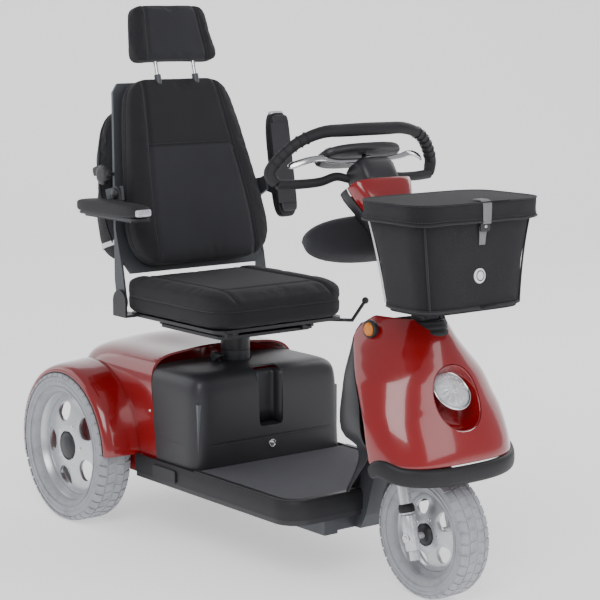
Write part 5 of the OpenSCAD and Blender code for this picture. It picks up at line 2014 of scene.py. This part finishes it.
def make_side_knob():
    low, high = corners("side_knob", ON_BACK)
    place = ON_BACK @ Matrix.Translation(((low.x + high.x) / 2, 0, (low.z + high.z) / 2))
    outer = low.y
    rings = []
    for y, radius, depth in ((outer + 17, 12, 0), (outer + 16, 24, 0), (outer + 14, 26.5, 1.6),
            (outer + 4, 26.5, 1.8), (outer + 1, 23, 1.0), (outer, 16, 0), (outer + 0.4, 4, 0)):
        ring = []
        for i in range(96):
            a = 2 * math.pi * i / 96
            reach = radius - depth * (0.5 + 0.5 * math.cos(12 * 2 * math.pi * i / 96))
            ring.append((reach * math.cos(a), y, reach * math.sin(a)))
        rings.append(ring)
    made = piece("side knob grip", *loft(rings, True, True, True), SATIN, "lumbar_dial", "black_plastic",
        place)
    sharp_shading(made, 45)
    piece("side knob shaft", *turned([(0.1, outer + 15), (5, outer + 15), (5, high.y), (0.1, high.y)], 24,
        "Y"), CHROME, "lumbar_dial", "bare_steel", place)
    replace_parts(made, "side_knob")


make_side_knob()

# ---- bags ----

bag_low, bag_high = corners("rear_bag", ON_BACK)


def bag_form(u, v, w):
    """A rucksack that hangs full at the bottom and slack at the top."""
    back = max(0.0, -u)
    share = (w + 1) / 2
    full = 1 - 0.52 * share ** 1.6
    soft = 0.03 * math.sin(5 * v + 2.1) * math.sin(4 * w + 0.4)
    return (u if u > 0.4 else 1 - (1 - u) * full * (1 + soft), v * (1 - 0.10 * share ** 2 - 0.05 * back), w)


def band(name, made, line, towards, lift, wide, thick, finish, up, body="backrest", where=ON_BACK):
    """A flat band sewn on along a line that is pressed against a bag."""
    path = surface_points(made, where, line, towards, lift)
    if len(path) > 4:
        strip(name, path, wide, thick, finish, body, "bag_fabric", where, up=up)
    return path


def make_rear_bag():
    low = bag_low + Vector((6, 8, 6))
    high = bag_high - Vector((0.6, 8, 8))
    made = piece("rear bag body", *soft_block(low, high, 4.4, 26, bag_form), BAG, "backrest", "bag_fabric",
        ON_BACK)
    inflate(made, 3.0, 8, 0.007)
    subdivided(made, 1)

    def settle(p):
        x, y, z = p
        if x < -20:
            x += 3.2 * math.sin(z * 0.055 + y * 0.018) * math.cos(y * 0.035)
        x = min(x, bag_high.x - 0.4)
        return x, y, z
    shaped(made, ON_BACK, settle)
    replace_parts(made, "rear_bag")
    for s, name in SIDES:
        line = [(-400, s * 92, bag_low.z + 30 + (bag_high.z - bag_low.z - 60) * i / 36) for i in range(37)]
        path = band("bag strap " + name, made, line, (1, 0, 0), 2.0, 26, 3, BLACK_WEB, (-1, 0, 0.1))
        if len(path) > 4:
            at = path[int(len(path) * 0.72)]
            block("bag buckle " + name, (at.x - 7, at.y - 18, at.z - 22), (at.x + 1, at.y + 18, at.z + 22),
                SATIN, "backrest", "black_plastic", ON_BACK, 5, 10)
    lower = [(-400, -170 + 340 * i / 40, bag_low.z + 66) for i in range(41)]
    band("bag reflective stripe", made, lower, (1, 0, 0), 1.6, 16, 2.2, REFLECT, (-1, 0, 0.1))
    for height, name in ((0.30, "lower"), (0.62, "upper")):
        z = bag_low.z + (bag_high.z - bag_low.z) * height
        line = [(-400, -165 + 330 * i / 48, z + 6 * math.cos(math.pi * (i / 48 - 0.5))) for i in range(49)]
        band("bag zip tape " + name, made, line, (1, 0, 0), 0.8, 11, 1.6, PIPING, (-1, 0, 0.1))
    for s, name in SIDES:
        line = [(-52 + 10 * i / 36, s * 260, bag_low.z + 26 + (bag_high.z - bag_low.z - 52) * i / 36)
            for i in range(37)]
        path = surface_points(made, ON_BACK, line, (0, -s, 0), 0.6)
        if len(path) > 4:
            tube("bag side piping " + name, path, 5, PIPING, "backrest", "bag_fabric", ON_BACK, 8)
        line = [(-130 + 100 * i / 20, s * 260, bag_low.z + 66) for i in range(21)]
        band("bag side stripe " + name, made, line, (0, -s, 0), 1.4, 14, 2.2, REFLECT, (0, s, 0.02))
        line = [(-118 + 104 * i / 20, s * 260, bag_high.z - 150 - 46 * i / 20) for i in range(21)]
        path = band("bag side strap " + name, made, line, (0, -s, 0), 1.6, 20, 3, BLACK_WEB, (0, s, 0.02))
        if len(path) > 4:
            at = path[len(path) // 2]
            block("bag side buckle " + name, (at.x - 16, at.y - 4 - 2 * s, at.z - 12),
                (at.x + 16, at.y + 4 + 2 * s, at.z + 12), SATIN, "backrest", "black_plastic", ON_BACK, 5, 10)


def make_tiller_bag():
    """The soft round pouch that hangs on the rider's side of the tiller."""
    low, high = corners("tiller_bag", ON_TILLER)

    def form(u, v, w):
        return u - 0.16 * abs(v) ** 2 + 0.12, v, w * (1 - 0.18 * v * v) + 0.16 * v * v - 0.08
    made = piece("tiller pouch", *soft_block(low + Vector((4, 6, 4)), high - Vector((4, 6, 4)), 3.0, 22,
        form), POUCH, "tiller", "bag_fabric", ON_TILLER)
    inflate(made, 3.0, 4, 0.006)
    subdivided(made, 1)
    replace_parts(made, "tiller_bag")
    line = [(-300, low.y + 16 + (high.y - low.y - 32) * i / 48, (low.z + high.z) / 2 + 14)
        for i in range(49)]
    band("pouch zip", made, line, (1, 0, 0), 0.8, 9, 1.8, PIPING, (-1, 0, 0.1), "tiller", ON_TILLER)
    for s, name in SIDES:
        loop = through([(high.x - 12, s * 40, high.z - 22), (-46, s * 38, high.z + 4),
            (-26, s * 34, high.z + 26), (-30, s * 34, high.z + 40)], 6)
        strip("pouch hanger " + name, loop, 20, 3, BLACK_WEB, "tiller", "bag_fabric", ON_TILLER,
            up=(-1, 0, 0.4))
    return made


make_rear_bag()
make_tiller_bag()

# ---- finishes of the carried-over parts ----

FINISHES = {
    FRAME: ("frame_rails", "frame_crossbars", "front_frame", "fork_crown", "tiller_tube", "basket_bracket",
        "post_socket", "back_frame", "drive_motor"),
    DARK_FRAME: ("seat_base", "swivel_hub", "seat_lever"),
    SATIN: ("floor_pan", "rear_bumper", "tiller_yoke", "armrest_arm_left", "armrest_arm_right"),
    CHROME: ("seat_post", "headrest_posts"),
    CAST: ("transaxle",),
    WHITE_STEEL: ("fork_legs",),
    ALLOY: ("rear_rim_left", "rear_rim_right", "front_rim"),
    MAT: ("floor_mat",),
    RED_LENS: ("tail_lights",),
    BATTERY: ("batteries",),
}
for finish, names in FINISHES.items():
    for node in names:
        mesh = nodes[node].data
        mesh.materials.clear()
        mesh.materials.append(finish)

# ---- camera, light and floor ----

camera_data = bpy.data.cameras.new("camera")
camera = linked("camera", camera_data)
AZIMUTH, ELEVATION, DISTANCE, SIDEWAYS, AIM_HEIGHT = math.radians(52), math.radians(8.8), 4.95, 0.168, 0.6
towards = Vector((math.sin(AZIMUTH) * math.cos(ELEVATION), -math.cos(AZIMUTH) * math.cos(ELEVATION),
    math.sin(ELEVATION)))
across = Vector((math.cos(AZIMUTH), math.sin(AZIMUTH), 0))
camera.location = Vector((post_x, 0, AIM_HEIGHT)) + across * SIDEWAYS + towards * DISTANCE
camera.rotation_euler = (-towards).to_track_quat("-Z", "Y").to_euler()
camera_data.lens = 114.7
camera_data.sensor_width = 36
camera_data.clip_end = 60
bpy.context.scene.camera = camera


def soft_light(name, place, aim, power, size, tone=(1, 1, 1)):
    data = bpy.data.lights.new(name, "AREA")
    data.energy = power
    data.size = size
    data.color = tone
    light = linked(name, data)
    light.location = place
    light.rotation_euler = (Vector(aim) - Vector(place)).to_track_quat("-Z", "Y").to_euler()


soft_light("key light", (2.6, -2.6, 3.2), (0.1, 0, 0.5), 85, 2.4)
soft_light("fill light", (-2.8, -2.2, 2.2), (-0.1, 0, 0.5), 34, 3.0, (0.96, 0.98, 1))
soft_light("back light", (-0.4, 3.2, 2.8), (0, 0, 0.6), 42, 2.6)
soft_light("front light", (3.4, 0.8, 1.6), (0.4, 0, 0.6), 28, 2.0)

world = bpy.data.worlds.new("studio")
world.use_nodes = True
world.node_tree.nodes["Background"].inputs["Color"].default_value = (0.95, 0.96, 1, 1)
world.node_tree.nodes["Background"].inputs["Strength"].default_value = 0.45
bpy.context.scene.world = world

floor_mesh = bpy.data.meshes.new("studio floor")
floor_rings = [(-6, 0), (3, 0), (4.2, 0.25), (4.8, 1.0), (5.0, 5.0)]
turn = Matrix.Rotation(AZIMUTH - math.pi / 2, 4, "Z")
sweep_points = [turn @ Vector((-d, y, z)) for d, z in floor_rings for y in (-9, 9)]
floor_mesh.from_pydata([tuple(p) for p in sweep_points], [],
    [(2 * i, 2 * i + 1, 2 * i + 3, 2 * i + 2) for i in range(len(floor_rings) - 1)])
floor = linked("studio floor", floor_mesh)
paper = Finish("pale paper", (0.93, 0.93, 0.94), 0.9, Emission_Color=(1, 1, 1, 1), Emission_Strength=0.62)
paper.tint(paper.noise(1.2, 2), -0.02)
floor_mesh.materials.append(paper.material)
floor_mesh.polygons.foreach_set("use_smooth", [True] * len(floor_mesh.polygons))
